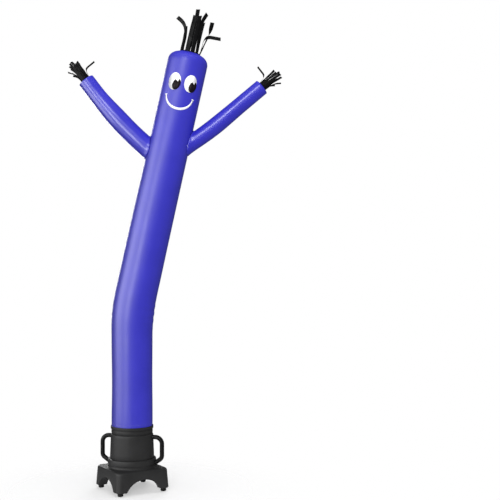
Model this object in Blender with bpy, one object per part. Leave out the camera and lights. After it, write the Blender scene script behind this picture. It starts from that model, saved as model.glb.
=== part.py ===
"""An inflatable air dancer, a man-high cloth tube with two arms, standing on the blower that fills it.

Metres, +Z up. The face looks along -Y and the arms reach out along X. Everything is laid out round the
blower's axis, and the last step moves it so that the origin is the middle of the whole object's box, on the
ground.
Run it with blender --background --python part.py, or from Blender's text editor.
"""

from collections import namedtuple
from math import acos, asin, atan2, cos, degrees, pi, radians, sin, sqrt, tan

import bmesh
import bpy
from mathutils import Matrix, Vector

# Driving sizes. A ten foot tube man on a blower with a ten inch outlet.
GAP = 0.0003                # between pieces that touch
CLOTH = 0.0015              # thickness of the coated nylon, with its seams
FRONT = Vector((0, -1, 0))

# The cloth body: straight up from the blower, a knee, then straight again with a lean to the right.
HEM_Z = 0.3893
KNEE_Z = 1.128              # where the two straight stretches would meet
KNEE_REACH = 0.135          # the bend begins this far before that point and ends as far after it
LEAN = radians(12.6)
HEAD_UP = 1.608             # from the knee's corner to where the dome begins
DOME_HEIGHT = 0.077
DOME_SQUARENESS = 2.55      # 2 is an ellipse
VENT_RADIUS = 0.066         # the open hole in the top of the head
BODY_SIDES = 32

# The body's girth, as the radius at a height above the ground.
#        name                height  radius
GIRTHS = (
    ("hem in the ring",      0.389,  0.1286),
    ("over the ring",        0.430,  0.1296),
    ("shin",                 0.700,  0.1276),
    ("under the knee",       0.960,  0.1296),
    ("knee",                 1.130,  0.1330),
    ("over the knee",        1.330,  0.1316),
    ("waist",                1.600,  0.1306),
    ("shoulder",             2.090,  0.1296),
    ("jaw",                  2.350,  0.1276),
    ("head",                 2.700,  0.1276),
)

# The arms, one row each: the side of the body, the shoulder's distance along the body's middle line from the
# knee, the rise of the upper arm, the turn at the elbow, the lengths on both sides of its corner, the reach of
# its bend, and the radius at the root and at the cuff.
Arm = namedtuple("Arm", "side shoulder rise turn upper lower reach root cuff")
ARMS = {
    "left": Arm(-1, 0.965, radians(41.0), radians(11.5), 0.397, 0.332, 0.25, 0.0630, 0.0525),
    "right": Arm(1, 0.986, radians(33.6), radians(6.4), 0.328, 0.436, 0.10, 0.0535, 0.0505),
}
ARM_TAPER = (0.38, 0.64)    # where along the arm it narrows from the one radius to the other
ARM_SIDES = 20
CUFF_HEIGHT = 0.009         # the arm's end is drawn in to a low dome
CUFF_HOLE = 0.0310

# The black streamers, one row each: the place round the ring, the width, the length, the lean away from the
# ring's axis at the root and at the tip, the side it leans to, the shares of its length where it bends, and
# the side that its flat faces at the tip. Sides are degrees from the front: 90 is the head's right or an
# arm's upper side.
STRIP_THICK = 0.0016
#    place  width  length  root tip  side  from  to    faces
HAIR = (
    (-60,   0.025, 0.230,  0,   62,  270,  0.50, 1.00, -18),
    (-12,   0.030, 0.228,  0,   2,   90,   0.30, 1.00, -14),
    (19,    0.028, 0.233,  -2,  0,   90,   0.30, 1.00, 12),
    (47,    0.024, 0.262,  -4,  22,  90,   0.62, 1.00, 24),
    (87,    0.022, 0.212,  3,   88,  90,   0.42, 0.80, 22),
    (114,   0.026, 0.230,  13,  2,   90,   0.50, 0.95, 8),
    (144,   0.025, 0.218,  -1,  2,   90,   0.30, 1.00, 150),
    (172,   0.026, 0.236,  0,   3,   90,   0.30, 1.00, 176),
    (200,   0.026, 0.297,  3,   -3,  90,   0.55, 1.00, 192),
    (237,   0.024, 0.172,  0,   12,  270,  0.40, 1.00, 215),
)
FRINGE = (
    (-90,   0.012, 0.110,  3,   38,  270,  0.30, 1.00, -50),
    (-62,   0.013, 0.068,  2,   40,  270,  0.20, 1.00, -40),
    (-33,   0.015, 0.106,  4,   20,  270,  0.50, 1.00, -20),
    (-4,    0.015, 0.134,  5,   9,   270,  0.30, 1.00, 0),
    (25,    0.015, 0.138,  3,   10,  270,  0.20, 1.00, 14),
    (54,    0.015, 0.120,  1,   4,   90,   0.30, 1.00, 24),
    (85,    0.011, 0.122,  12,  88,  90,   0.28, 0.66, 18),
    (119,   0.015, 0.110,  1,   4,   90,   0.40, 1.00, 130),
    (150,   0.015, 0.126,  0,   2,   90,   0.30, 1.00, 160),
    (181,   0.015, 0.120,  4,   2,   270,  0.30, 1.00, 186),
    (212,   0.015, 0.134,  4,   10,  270,  0.40, 1.00, 200),
    (243,   0.012, 0.090,  4,   24,  270,  0.30, 1.00, 225),
)
STRIP_STEPS = 7
BAND_HIGH = 0.006           # the ring that the streamers are sewn to, above and below the hole's edge
BAND_LOW = 0.005
BAND_INSIDE = 0.0010        # between the hole's edge and the ring

# The face, sewn on: places on the head as (round to the right, down from the dome).
FACE_TURN = radians(3.8)
EYE_SIDE = radians(23.6)
EYE_DOWN = {"left": 0.1380, "right": 0.1335}
EYE_HALF = (0.0415, 0.0548)
PUPIL_OFF = (0.0165, 0.0165)
PUPIL_HALF = (0.0245, 0.0370)
PUPIL_LEAN = radians(17)
GLINT = (radians(-21), radians(27))     # a wedge left out of the pupil's top: its middle and half of it
GLINT_FOOT = (0.0011, -0.0175)
SMILE_HALF = 0.0915
SMILE_ENDS_DOWN = 0.2290
SMILE_DEPTH = 0.0740
SMILE_WIDTH = (0.0095, 0.0148)      # at its ends and in the middle
CHEEK = (0.0175, 0.0065)
PATCH_STEP = 0.0125         # a patch has an edge at least this often round the head

# The blower. Its own X runs through the handles and its control box faces its own +Y, away from the face.
BLOWER_TURN = radians(-13.5)
RIM_Z = 0.407
RING_Z = 0.356              # the bottom of the outlet ring, on the drum
BAND_Z = 0.202              # the top of the stand's neck, under the drum
DUCT_RADIUS = 0.122
FOOT_HEIGHT = 0.022
FOOT_RADIUS = 0.0175
FOOT_OUT = 0.208
NECK_RADIUS = 0.1525        # the band round the top of the stand's neck
ROUND_STEPS = 48
SIDE_POINTS = 10            # points on each straight side of the stand's rings
CORNER_POINTS = 6
ARCH_HALF = 0.1175
ARCH_TOP = 0.092
DRUM_SIDE = 0.1348          # the drum's radius where the handles' upper ends meet it
HANDLE_SIDES = 12
HANDLE_RADIUS = 0.014
HANDLE_OUT = 0.1990
HANDLE_TOP = 0.336
HANDLE_BEND = 0.205         # where the bar would turn in towards the stand's neck
HANDLE_LOW = 0.173
HANDLE_ROUNDS = (0.042, 0.032)

# The control box on the blower's back, as places along its own X, Y and Z.
BOSS_FACE = 0.1452
BOSS_HALF = 0.0725
BOSS_Z = (0.209, 0.345)
PLATE_HALF = 0.0690
PLATE_Z = (0.2125, 0.3415)
PLATE_THICK = 0.0035
PLATE_ROUND = 0.0012
BOX_HALF = 0.0560
BOX_SINK = 0.0010           # how far the hood and the panel reach into the plate that they are moulded with
HOOD_Z = (0.262, 0.3305)
HOOD_OUT = 0.187
HOOD_ROUND = 0.008
PANEL_Z = (0.2175, 0.266)
PANEL_OUT = 0.172
PANEL_ROUND = 0.006
SCREW_X = 0.0625
SCREW_Z = (0.2195, 0.3345)
SCREW_RADIUS = 0.0040
SWITCH = (-0.0157, 0.2405)  # X and Z of the rocker switch's middle
POCKET_HALF = (0.0130, 0.0115)
FRAME_HALF = (0.0155, 0.0135)
COLLAR_HALF = (0.0127, 0.0112)
WELL_HALF = (0.0116, 0.0100)
FRAME_THICK = 0.002
ROCKER_HALF = (0.0105, 0.0095)
ROCKER_CREST = 0.0028       # the rocker's crests, the valley between them and its underside, from its axis
ROCKER_VALLEY = 0.0010
ROCKER_UNDER = -0.0030
ROCKER_TILT = radians(9.7)
GLAND = (0.0237, 0.1640)    # X and Y of the cable gland under the panel
GLAND_TOP = PANEL_Z[0] - GAP
GLAND_HOLE = 0.0035
NUT_RADIUS = 0.0113
NUT_HIGH = 0.0080
NUT_DOWN = 0.0075           # from the panel to the nut's middle

# Flat colours and finishes, as red, green, blue, roughness, metallic.
FINISHES = {
    "blue_cloth": (0.060, 0.050, 0.520, 0.42, 0.0),
    "black_cloth": (0.012, 0.012, 0.013, 0.55, 0.0),
    "white_cloth": (0.820, 0.820, 0.820, 0.55, 0.0),
    "black_patch": (0.020, 0.018, 0.022, 0.50, 0.0),
    "moulded_plastic": (0.032, 0.032, 0.033, 0.50, 0.0),
    "black_plastic": (0.014, 0.014, 0.015, 0.40, 0.0),
    "rubber": (0.010, 0.010, 0.010, 0.75, 0.0),
    "green_plastic": (0.010, 0.180, 0.090, 0.28, 0.0),
    "nickel": (0.700, 0.700, 0.690, 0.22, 1.0),
}


def clear_scene():
    for obj in list(bpy.data.objects):
        bpy.data.objects.remove(obj)


def finish(name):
    """The material of that name, made the first time it is asked for."""
    material = bpy.data.materials.get(name)
    if material is None:
        red, green, blue, roughness, metallic = FINISHES[name]
        material = bpy.data.materials.new(name)
        material.use_nodes = True
        shader = material.node_tree.nodes["Principled BSDF"]
        shader.inputs["Base Color"].default_value = (red, green, blue, 1)
        shader.inputs["Roughness"].default_value = roughness
        shader.inputs["Metallic"].default_value = metallic
    return material


def empty(name, parent=None, turn=0.0):
    obj = bpy.data.objects.new(name, None)
    bpy.context.scene.collection.objects.link(obj)
    obj.rotation_euler.z = turn
    obj.parent = parent
    return obj


def piece(name, bm, material, parent, smooth=radians(40)):
    """Ends a bmesh and puts it in the scene as one object."""
    bmesh.ops.recalc_face_normals(bm, faces=bm.faces)
    mesh = bpy.data.meshes.new(name)
    bm.to_mesh(mesh)
    bm.free()
    mesh.materials.append(finish(material))
    mesh.shade_smooth()
    mesh.set_sharp_from_angle(angle=smooth)
    obj = bpy.data.objects.new(name, mesh)
    obj.parent = parent
    bpy.context.scene.collection.objects.link(obj)
    return obj


def cutter(name, bm, parent):
    """A shape that only cuts or joins others: it isn't part of the object."""
    obj = piece(name, bm, "black_plastic", parent)
    obj.hide_render = True
    obj.display_type = "WIRE"
    return obj


def combine(obj, other, operation):
    boolean = obj.modifiers.new(f"{operation.lower()} {other.name}", "BOOLEAN")
    boolean.operation = operation
    boolean.object = other
    boolean.solver = "EXACT"


def crisp_edges():
    """Node group of a modifier that shades the edges left by the cuts sharp. It moves nothing."""
    group = bpy.data.node_groups.new("crisp_edges", "GeometryNodeTree")
    group.interface.new_socket("Geometry", in_out="INPUT", socket_type="NodeSocketGeometry")
    group.interface.new_socket("Geometry", in_out="OUTPUT", socket_type="NodeSocketGeometry")
    start = group.nodes.new("NodeGroupInput")
    angle = group.nodes.new("GeometryNodeInputMeshEdgeAngle")
    steep = group.nodes.new("FunctionNodeCompare")
    steep.inputs["B"].default_value = radians(35)
    shade = group.nodes.new("GeometryNodeSetShadeSmooth")
    shade.domain = "EDGE"
    shade.inputs["Shade Smooth"].default_value = False
    end = group.nodes.new("NodeGroupOutput")
    group.links.new(start.outputs[0], shade.inputs["Geometry"])
    group.links.new(angle.outputs["Unsigned Angle"], steep.inputs["A"])
    group.links.new(steep.outputs["Result"], shade.inputs["Selection"])
    group.links.new(shade.outputs[0], end.inputs[0])
    return group


def shade_cut_pieces():
    """Puts the crisp edges last on every piece that has been cut or joined."""
    group = crisp_edges()
    for obj in bpy.context.scene.objects:
        if not obj.hide_render and any(m.type == "BOOLEAN" for m in obj.modifiers):
            obj.modifiers.new("crisp edges", "NODES").node_group = group


def skin(rings, ends=True, loop=False):
    """A bmesh with faces between rings of as many points each. Its ends are filled, or joined in a loop."""
    bm = bmesh.new()
    rows = [[bm.verts.new(point) for point in ring] for ring in rings]
    pairs = list(zip(rows, rows[1:]))
    if loop:
        pairs.append((rows[-1], rows[0]))
    for low, high in pairs:
        for i in range(len(low)):
            j = (i + 1) % len(low)
            bm.faces.new((low[i], low[j], high[j], high[i]))
    if ends and not loop:
        bm.faces.new(reversed(rows[0]))
        bm.faces.new(rows[-1])
    return bm


def turned(profile, steps=ROUND_STEPS, loop=False):
    """A solid turned about Z from (radius, height) points. A profile that is a loop makes a ring."""
    turns = [2 * pi * i / steps for i in range(steps)]
    return skin([[(r * cos(t), r * sin(t), z) for t in turns] for r, z in profile], loop=loop)


def block(low, high, round_by=0.0, segments=2):
    """A box between two corners, with its edges rounded."""
    bm = bmesh.new()
    middle = (Vector(low) + Vector(high)) / 2
    size = Vector(high) - Vector(low)
    matrix = Matrix.Translation(middle) @ Matrix.Diagonal((*size, 1))
    bmesh.ops.create_cube(bm, size=1.0, matrix=matrix)
    if round_by:
        bmesh.ops.bevel(bm, geom=bm.edges[:], offset=round_by, segments=segments, profile=0.5,
                        affect="EDGES", material=-1)
    return bm


def ease(value, low, high):
    """0 below low and 1 above high, with a smooth rise between them."""
    into = min(1, max(0, (value - low) / (high - low)))
    return into * into * (3 - 2 * into)


def read(table, height):
    """The radius at a height, on a smooth line through the table's rows."""
    for (_, low, first), (_, high, second) in zip(table, table[1:]):
        if height <= high:
            return first + (second - first) * ease(height, low, high)
    return table[-1][2]


class BentLine:
    """A line in the XZ plane that runs straight, turns once, and runs straight again.

    heading is the first stretch's angle from upright towards +X, and turn is added to it at the bend. before
    is the distance from the start to the corner, and reach is how far from it the bend begins and ends.
    """

    def __init__(self, start, heading, turn, before, reach):
        self.start, self.heading, self.turn = start, heading, turn
        self.bend_radius = reach / tan(abs(turn) / 2)
        self.bend_long = self.bend_radius * abs(turn)
        self.straight = before - reach
        self.shortening = 2 * reach - self.bend_long
        self.bend_end = start + self.axis(heading) * before + self.axis(heading + turn) * reach

    def axis(self, angle):
        return Vector((sin(angle), 0, cos(angle)))

    def side(self, angle):
        return Vector((cos(angle), 0, -sin(angle)))

    def at(self, distance):
        """The point at a distance along the line, its direction there, and the direction to its side."""
        along_bend = distance - self.straight
        angle = self.heading + self.turn * min(1, max(0, along_bend / self.bend_long))
        axis, side = self.axis(angle), self.side(angle)
        if along_bend <= 0:
            return self.start + axis * distance, axis, side
        if along_bend >= self.bend_long:
            return self.bend_end + axis * (along_bend - self.bend_long), axis, side
        inwards = self.bend_radius * (1 if self.turn > 0 else -1)
        bend_start = self.start + self.axis(self.heading) * self.straight
        return bend_start + (self.side(self.heading) - side) * inwards, axis, side


# Where the body's middle line runs, and where the head is on it.
BODY_LINE = BentLine(Vector((0, 0, HEM_Z)), 0.0, LEAN, KNEE_Z - HEM_Z, KNEE_REACH)
KNEE_AT = KNEE_Z - HEM_Z - BODY_LINE.shortening
HEAD_AT = KNEE_AT + HEAD_UP
HEAD_RADIUS = GIRTHS[-1][2]


def ring_about(centre, side, radius, sides):
    """Points round a tube, the first at the front and then towards the side direction."""
    turns = [2 * pi * i / sides for i in range(sides)]
    return [centre + FRONT * radius * cos(t) + side * radius * sin(t) for t in turns]


def dome_rings(centre, axis, side, radius, height, hole, squareness, sides, steps, grow=0.0):
    """Rings over a rounded tube end, from just above its base to the edge of the hole in its middle."""
    last = acos((hole / radius) ** (squareness / 2))
    rings = []
    for i in range(1, steps + 1):
        angle = last * i / steps
        out = (radius + grow) * cos(angle) ** (2 / squareness)
        up = (height + grow) * sin(angle) ** (2 / squareness)
        rings.append(ring_about(centre + axis * up, side, out, sides))
    return rings


def stretch(start, end, steps):
    """Distances from just after the start to the end, evenly apart."""
    return [start + (end - start) * i / steps for i in range(1, steps + 1)]


def body_rings(grow=0.0):
    """The body's outer skin from its hem to the vent, grown outwards by a little for a cutter."""
    over_ring = 0.045
    knee_start = BODY_LINE.straight
    knee_end = knee_start + 2 * KNEE_REACH
    places = [0] + stretch(0, over_ring, 2) + stretch(over_ring, knee_start, 5)
    places += stretch(knee_start, knee_end, 6) + stretch(knee_end, HEAD_AT, 10)
    rings = []
    for place in places:
        centre, _, side = BODY_LINE.at(place)
        rings.append(ring_about(centre, side, read(GIRTHS, centre.z) + grow, BODY_SIDES))
    centre, axis, side = BODY_LINE.at(HEAD_AT)
    rings += dome_rings(centre, axis, side, HEAD_RADIUS, DOME_HEIGHT, VENT_RADIUS, DOME_SQUARENESS,
                        BODY_SIDES, 6, grow)
    return rings


def arm_line(arm):
    """The middle line of an arm, from the body's own middle line outwards."""
    shoulder, _, _ = BODY_LINE.at(KNEE_AT + arm.shoulder)
    return BentLine(shoulder, arm.side * (pi / 2 - arm.rise), -arm.side * arm.turn, arm.upper, arm.reach)


def arm_length(arm):
    return arm.upper + arm.lower - arm_line(arm).shortening


def arm_rings(arm, places, shrink=0.0):
    """Rings of an arm's skin at distances along it, shrunk by a little for a cutter."""
    rings = []
    for place in places:
        centre, _, side = arm_line(arm).at(place)
        radius = arm.root + (arm.cuff - arm.root) * ease(place, *ARM_TAPER)
        rings.append(ring_about(centre, side, radius - shrink, ARM_SIDES))
    return rings


def thicken(obj):
    """Gives a cloth skin its thickness, inwards."""
    solidify = obj.modifiers.new("cloth thickness", "SOLIDIFY")
    solidify.thickness = CLOTH
    solidify.offset = -1
    solidify.use_even_offset = True


# Sewn cloth: the body is one long tube with a domed head that has a vent, and an opening for each arm.
def make_body(root):
    inside_body, past_body = 0.02, 0.30
    body = piece("body_tube", skin(body_rings(), ends=False), "blue_cloth", root)
    thicken(body)
    for name, arm in ARMS.items():
        rings = arm_rings(arm, stretch(inside_body, past_body, 5), shrink=CLOTH)
        combine(body, cutter(f"armhole_{name}", skin(rings), root), "DIFFERENCE")


# Sewn cloth: each arm is a tube. Its root follows the body's side, its end is drawn in round the streamers.
def make_arms(root):
    inside = cutter("body_inside", skin(body_rings(GAP)), root)
    inside_body = 0.05
    for name, arm in ARMS.items():
        long = arm_length(arm)
        rings = arm_rings(arm, [inside_body] + stretch(inside_body, long, 14))
        centre, axis, side = arm_line(arm).at(long)
        rings += dome_rings(centre, axis, side, arm.cuff, CUFF_HEIGHT, CUFF_HOLE, 2.0, ARM_SIDES, 3)
        obj = piece(f"arm_{name}", skin(rings, ends=False), "blue_cloth", root)
        thicken(obj)
        combine(obj, inside, "DIFFERENCE")


def strip_sections(root_point, axis, right, row):
    """The corners of one streamer at each step from its root, where its flat faces outwards."""
    place, width, length, lean, tip, side, bend_from, bend_to, faces = row

    def towards(turn):
        return FRONT * cos(radians(turn)) + right * sin(radians(turn))

    point = root_point.copy()
    sections = []
    for i in range(STRIP_STEPS + 1):
        share = i / STRIP_STEPS
        bent = ease(share, bend_from, bend_to)
        angle = radians(lean + (tip - lean) * bent)
        along = axis * cos(angle) + towards(side) * sin(angle)
        if i:
            point += along * length / STRIP_STEPS
        flat = towards(place + (faces - place) * bent)
        flat = (flat - along * flat.dot(along)).normalized()
        across = flat.cross(along)
        half, thick = width / 2, STRIP_THICK / 2
        sections.append([point + across * x * half + flat * y * thick
                         for x, y in ((-1, -1), (1, -1), (1, 1), (-1, 1))])
    return sections


def make_streamers(name, rows, centre, axis, right, radius, root):
    """A sewn ring of thin cloth with a streamer drawn up from each of its wide stretches."""
    inner = radius - STRIP_THICK
    bm = bmesh.new()
    columns = []
    for row in rows:
        half = degrees(row[1] / 2 / radius)
        for turn, strip in ((row[0] - half, row), (row[0] + half, None)):
            out = FRONT * cos(radians(turn)) + right * sin(radians(turn))
            corners = [centre + out * reach + axis * up for reach, up in
                       ((inner, -BAND_LOW), (radius, -BAND_LOW), (radius, BAND_HIGH), (inner, BAND_HIGH))]
            columns.append(([bm.verts.new(corner) for corner in corners], strip))
    for (first, strip), (second, _) in zip(columns, columns[1:] + columns[:1]):
        low_in, low_out, top_out, top_in = first
        next_low_in, next_low_out, next_top_out, next_top_in = second
        bm.faces.new((low_in, next_low_in, next_low_out, low_out))
        bm.faces.new((low_out, next_low_out, next_top_out, top_out))
        bm.faces.new((top_in, next_top_in, next_low_in, low_in))
        if strip is None:
            bm.faces.new((top_out, next_top_out, next_top_in, top_in))
            continue
        middle = (top_in.co + top_out.co + next_top_in.co + next_top_out.co) / 4
        sections = strip_sections(middle, axis, right, strip)
        lower = [top_in, next_top_in, next_top_out, top_out]
        if (sections[0][1] - sections[0][0]).dot(next_top_in.co - top_in.co) < 0:
            lower = [next_top_in, top_in, top_out, next_top_out]
        for corners in sections[1:]:
            higher = [bm.verts.new(corner) for corner in corners]
            for i in range(4):
                j = (i + 1) % 4
                bm.faces.new((lower[i], lower[j], higher[j], higher[i]))
            lower = higher
        bm.faces.new(lower)
    return piece(name, bm, "black_cloth", root, radians(60))


# Black streamers: strips of light cloth sewn round the vent in the head and round the hole in each cuff.
def make_hair_and_fringes(root):
    centre, axis, side = BODY_LINE.at(HEAD_AT)
    rim = DOME_HEIGHT * (1 - (VENT_RADIUS / HEAD_RADIUS) ** DOME_SQUARENESS) ** (1 / DOME_SQUARENESS)
    make_streamers("hair", HAIR, centre + axis * rim, axis, side, VENT_RADIUS - BAND_INSIDE, root)
    radius = CUFF_HOLE - BAND_INSIDE
    for name, arm in ARMS.items():
        centre, axis, side = arm_line(arm).at(arm_length(arm))
        rim = CUFF_HEIGHT * sqrt(1 - (CUFF_HOLE / arm.cuff) ** 2)
        upper = side * -arm.side
        make_streamers(f"fringe_{name}", FRINGE, centre + axis * rim, axis, upper, radius, root)


def eye_outline(centre):
    """Points of an ellipse on the unrolled head, x to the right and y downwards."""
    steps = 24
    turns = [2 * pi * i / steps for i in range(steps)]
    return [(centre[0] + EYE_HALF[0] * sin(turn), centre[1] + EYE_HALF[1] * cos(turn)) for turn in turns]


def pupil_outline(centre):
    """A leaning ellipse with a wedge left out of its top, where the white shows as a glint."""
    middle, half = GLINT
    steps = 22
    points = []
    for i in range(steps + 1):
        turn = pi - middle - half - (2 * pi - 2 * half) * i / steps
        points.append((PUPIL_HALF[0] * sin(turn), PUPIL_HALF[1] * cos(turn)))
    points.append(GLINT_FOOT)
    lean = -PUPIL_LEAN
    return [(centre[0] + x * cos(lean) + y * sin(lean), centre[1] - x * sin(lean) + y * cos(lean))
            for x, y in points]


def smile_outline():
    """A round arc of cloth, widest in the middle, with a short bar across each end as a cheek."""
    arc = (SMILE_HALF ** 2 + SMILE_DEPTH ** 2) / (2 * SMILE_DEPTH)
    middle = SMILE_ENDS_DOWN + SMILE_DEPTH - arc
    widest = asin(SMILE_HALF / arc)
    steps = 20
    inner, outer = [], []
    for i in range(steps + 1):
        turn = -widest + 2 * widest * i / steps
        fat = SMILE_WIDTH[0] + (SMILE_WIDTH[1] - SMILE_WIDTH[0]) * cos(turn / widest * pi / 2)
        for points, r in ((inner, arc - fat / 2), (outer, arc + fat / 2)):
            points.append((r * sin(turn), middle + r * cos(turn)))
    long, thick = CHEEK
    for turn, start in ((-widest, True), (widest, False)):
        forward = -thick if start else thick
        for points, r in ((inner, arc - long / 2), (outer, arc + long / 2)):
            x, y = r * sin(turn), middle + r * cos(turn)
            bar = [(x, y), (x + forward * cos(turn), y - forward * sin(turn))]
            if start:
                points[:0] = bar[::-1]
            else:
                points += bar
    return inner + outer[::-1]


def wrap(name, outline, middle, lift, material, root):
    """Cuts a flat outline from sheet, bends it round the head at its place and gives it its thickness."""
    bm = bmesh.new()
    bm.faces.new([bm.verts.new((x, y, 0)) for x, y in outline])
    low = min(x for x, _ in outline)
    high = max(x for x, _ in outline)
    cuts = int((high - low) / PATCH_STEP)
    for i in range(1, cuts + 1):
        geometry = bm.verts[:] + bm.edges[:] + bm.faces[:]
        place = (low + (high - low) * i / (cuts + 1), 0, 0)
        bmesh.ops.bisect_plane(bm, geom=geometry, plane_co=place, plane_no=(1, 0, 0), dist=1e-6)
    bmesh.ops.triangulate(bm, faces=bm.faces[:])
    top = bmesh.ops.extrude_face_region(bm, geom=bm.faces[:])
    for vert in top["geom"]:
        if isinstance(vert, bmesh.types.BMVert):
            vert.co.z = CLOTH
    centre, axis, side = BODY_LINE.at(HEAD_AT)
    for vert in bm.verts:
        radius = HEAD_RADIUS + lift + vert.co.z
        turn = middle + vert.co.x / HEAD_RADIUS
        vert.co = centre - axis * vert.co.y + (FRONT * cos(turn) + side * sin(turn)) * radius
    return piece(name, bm, material, root)


# Sewn-on face: two oval eyes, each with a dark pupil on it, and a smile, all cut from flat cloth.
def make_face(root):
    smile = smile_outline()
    wrap("smile", smile, FACE_TURN, GAP, "white_cloth", root)
    for eye, way in (("left", -1), ("right", 1)):
        middle = FACE_TURN + way * EYE_SIDE
        down = EYE_DOWN[eye]
        wrap(f"eye_{eye}", eye_outline((0, down)), middle, GAP, "white_cloth", root)
        place = (PUPIL_OFF[0], down + PUPIL_OFF[1])
        wrap(f"pupil_{eye}", pupil_outline(place), middle, CLOTH + 2 * GAP, "black_patch", root)


def square_turns():
    """The angles of the points round the stand's rings, closer together at its corners on X and Y."""
    half, corner = 0.18, 0.04
    points = []
    for side in range(4):
        for i in range(SIDE_POINTS):
            share = i / SIDE_POINTS * 2 - 1
            points.append((half, share * (half - corner), side))
        for i in range(CORNER_POINTS):
            turn = pi / 2 * i / CORNER_POINTS
            points.append((half - corner + corner * cos(turn), half - corner + corner * sin(turn), side))
    return [atan2(y, x) + side * pi / 2 + pi / 4 for x, y, side in points]


def square_reach(turn, half, corner):
    """How far a square with rounded corners reaches at an angle, its corners lying on X and Y."""
    local = turn % (pi / 2) - pi / 4
    flat = half / cos(local)
    if abs(flat * sin(local)) <= half - corner:
        return flat
    offset = half - corner
    x, y = cos(abs(local)), sin(abs(local))
    along = offset * (x + y)
    return along + sqrt(along * along - 2 * offset * offset + corner * corner)


# The stand's outside from the ground up: rounded squares for the base, then circles for the neck.
#         height half or radius  corner, or none on a round row
STAND = (
    (FOOT_HEIGHT, 0.1780, 0.038),
    (0.026, 0.1815, 0.040),
    (0.126, 0.1750, 0.040),
    (0.137, 0.1725, 0.039),
    (0.1435, 0.1660, 0.036),
    (0.1475, 0.1620, None),
    (0.1510, 0.1550, None),
    (0.1570, 0.1500, None),
    (0.1660, 0.1500, None),
    (0.1680, NECK_RADIUS, None),
    (0.1950, NECK_RADIUS, None),
    (0.2000, 0.1505, None),
    (BAND_Z, 0.1460, None),
)

# The hollow under the stand and up through its neck, where the fan draws its air: radius and height.
HOLLOW = (
    (0.1710, 0.0),
    (0.1710, 0.1160),
    (0.1600, 0.1300),
    (0.1430, 0.1400),
    (0.1400, 0.1480),
    (0.1400, 0.1780),
    (DUCT_RADIUS, 0.1880),
    (DUCT_RADIUS, BAND_Z + 0.1),
)


# Moulded plastic: the stand is a hollow square base on four legs, with an arch in each side and a round neck.
def make_stand(blower):
    turns = square_turns()
    rings = []
    for z, reach, corner in STAND:
        radii = [reach if corner is None else square_reach(t, reach, corner) for t in turns]
        rings.append([(r * cos(t), r * sin(t), z) for r, t in zip(radii, turns)])
    stand = piece("stand", skin(rings), "moulded_plastic", blower)
    combine(stand, cutter("stand_hollow", turned(HOLLOW), blower), "DIFFERENCE")
    rise = ARCH_TOP - FOOT_HEIGHT
    radius = (ARCH_HALF ** 2 + rise ** 2) / (2 * rise)
    steps = 8
    turns = [asin(ARCH_HALF / radius) * i / steps for i in range(-steps, steps + 1)]
    arc = [(radius * sin(t), ARCH_TOP - radius + radius * cos(t)) for t in turns]
    below, past = 0.02, 0.30
    outline = [(-ARCH_HALF, FOOT_HEIGHT - below)] + arc + [(ARCH_HALF, FOOT_HEIGHT - below)]
    for name, turn in (("stand_arch_one", pi / 4), ("stand_arch_two", -pi / 4)):
        ends = []
        for y in (-past, past):
            ends.append([Matrix.Rotation(turn, 3, "Z") @ Vector((x, y, z)) for x, z in outline])
        combine(stand, cutter(name, skin(ends), blower), "DIFFERENCE")


# Rubber: a turned foot under each leg.
def make_feet(blower):
    edge = 0.003
    profile = [(FOOT_RADIUS - edge, 0), (FOOT_RADIUS, edge), (FOOT_RADIUS, FOOT_HEIGHT - GAP)]
    places = {"right": (1, 0), "back": (0, 1), "left": (-1, 0), "front": (0, -1)}
    for name, (x, y) in places.items():
        foot = piece(f"foot_{name}", turned(profile, 20), "rubber", blower)
        foot.location = (x * FOOT_OUT, y * FOOT_OUT, 0)


# The drum's outside, from the stand up to the outlet ring: radius and height.
DRUM = (
    (0.1395, BAND_Z + GAP),
    (0.1385, 0.235),
    (0.1345, 0.335),
    (0.1335, 0.350),
    (0.1305, RING_Z),
)


# Moulded plastic: the drum that holds the fan is an open duct, with a flat boss on its back.
def make_drum(blower):
    drum = piece("fan_drum", turned(DRUM), "moulded_plastic", blower)
    inside_drum, past = 0.08, 0.05
    boss = block((-BOSS_HALF, inside_drum, BOSS_Z[0]), (BOSS_HALF, BOSS_FACE, BOSS_Z[1]), 0.010)
    combine(drum, cutter("drum_boss", boss, blower), "UNION")
    duct = turned([(DUCT_RADIUS, BAND_Z - past), (DUCT_RADIUS, RING_Z + past)])
    combine(drum, cutter("drum_duct", duct, blower), "DIFFERENCE")


# The outlet ring's section: down its outside, which has a rim and two grooves, and up its inside, which has a
# ledge for the cloth's hem. Radius and height.
RING = (
    (0.1345, RIM_Z - 0.0015),
    (0.1345, 0.3900),
    (0.1275, 0.3885),
    (0.1275, 0.3845),
    (0.1305, 0.3830),
    (0.1305, 0.3640),
    (0.1265, 0.3625),
    (0.1265, RING_Z + GAP),
    (0.1200, RING_Z + GAP),
    (0.1200, HEM_Z - GAP),
    (0.1304, HEM_Z - GAP),
    (0.1304, RIM_Z),
    (0.1332, RIM_Z),
)


# Black plastic: the outlet ring is pressed on the drum and holds the cloth's hem.
def make_ring(blower):
    piece("outlet_ring", turned(RING, loop=True), "black_plastic", blower)


def rounded_route(points, bends, steps=5):
    """The points of a line with its inner corners rounded to those radii, in the XZ plane."""
    route = [points[0]]
    for before, corner, after, bend in zip(points, points[1:], points[2:], bends):
        back = (before - corner).normalized()
        on = (after - corner).normalized()
        half = acos(back.dot(on)) / 2
        centre = corner + (back + on).normalized() * bend / sin(half)
        first = corner + back * bend / tan(half) - centre
        last = corner + on * bend / tan(half) - centre
        for i in range(steps + 1):
            route.append(centre + first.slerp(last, i / steps) * bend)
    route.append(points[-1])
    return route


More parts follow.
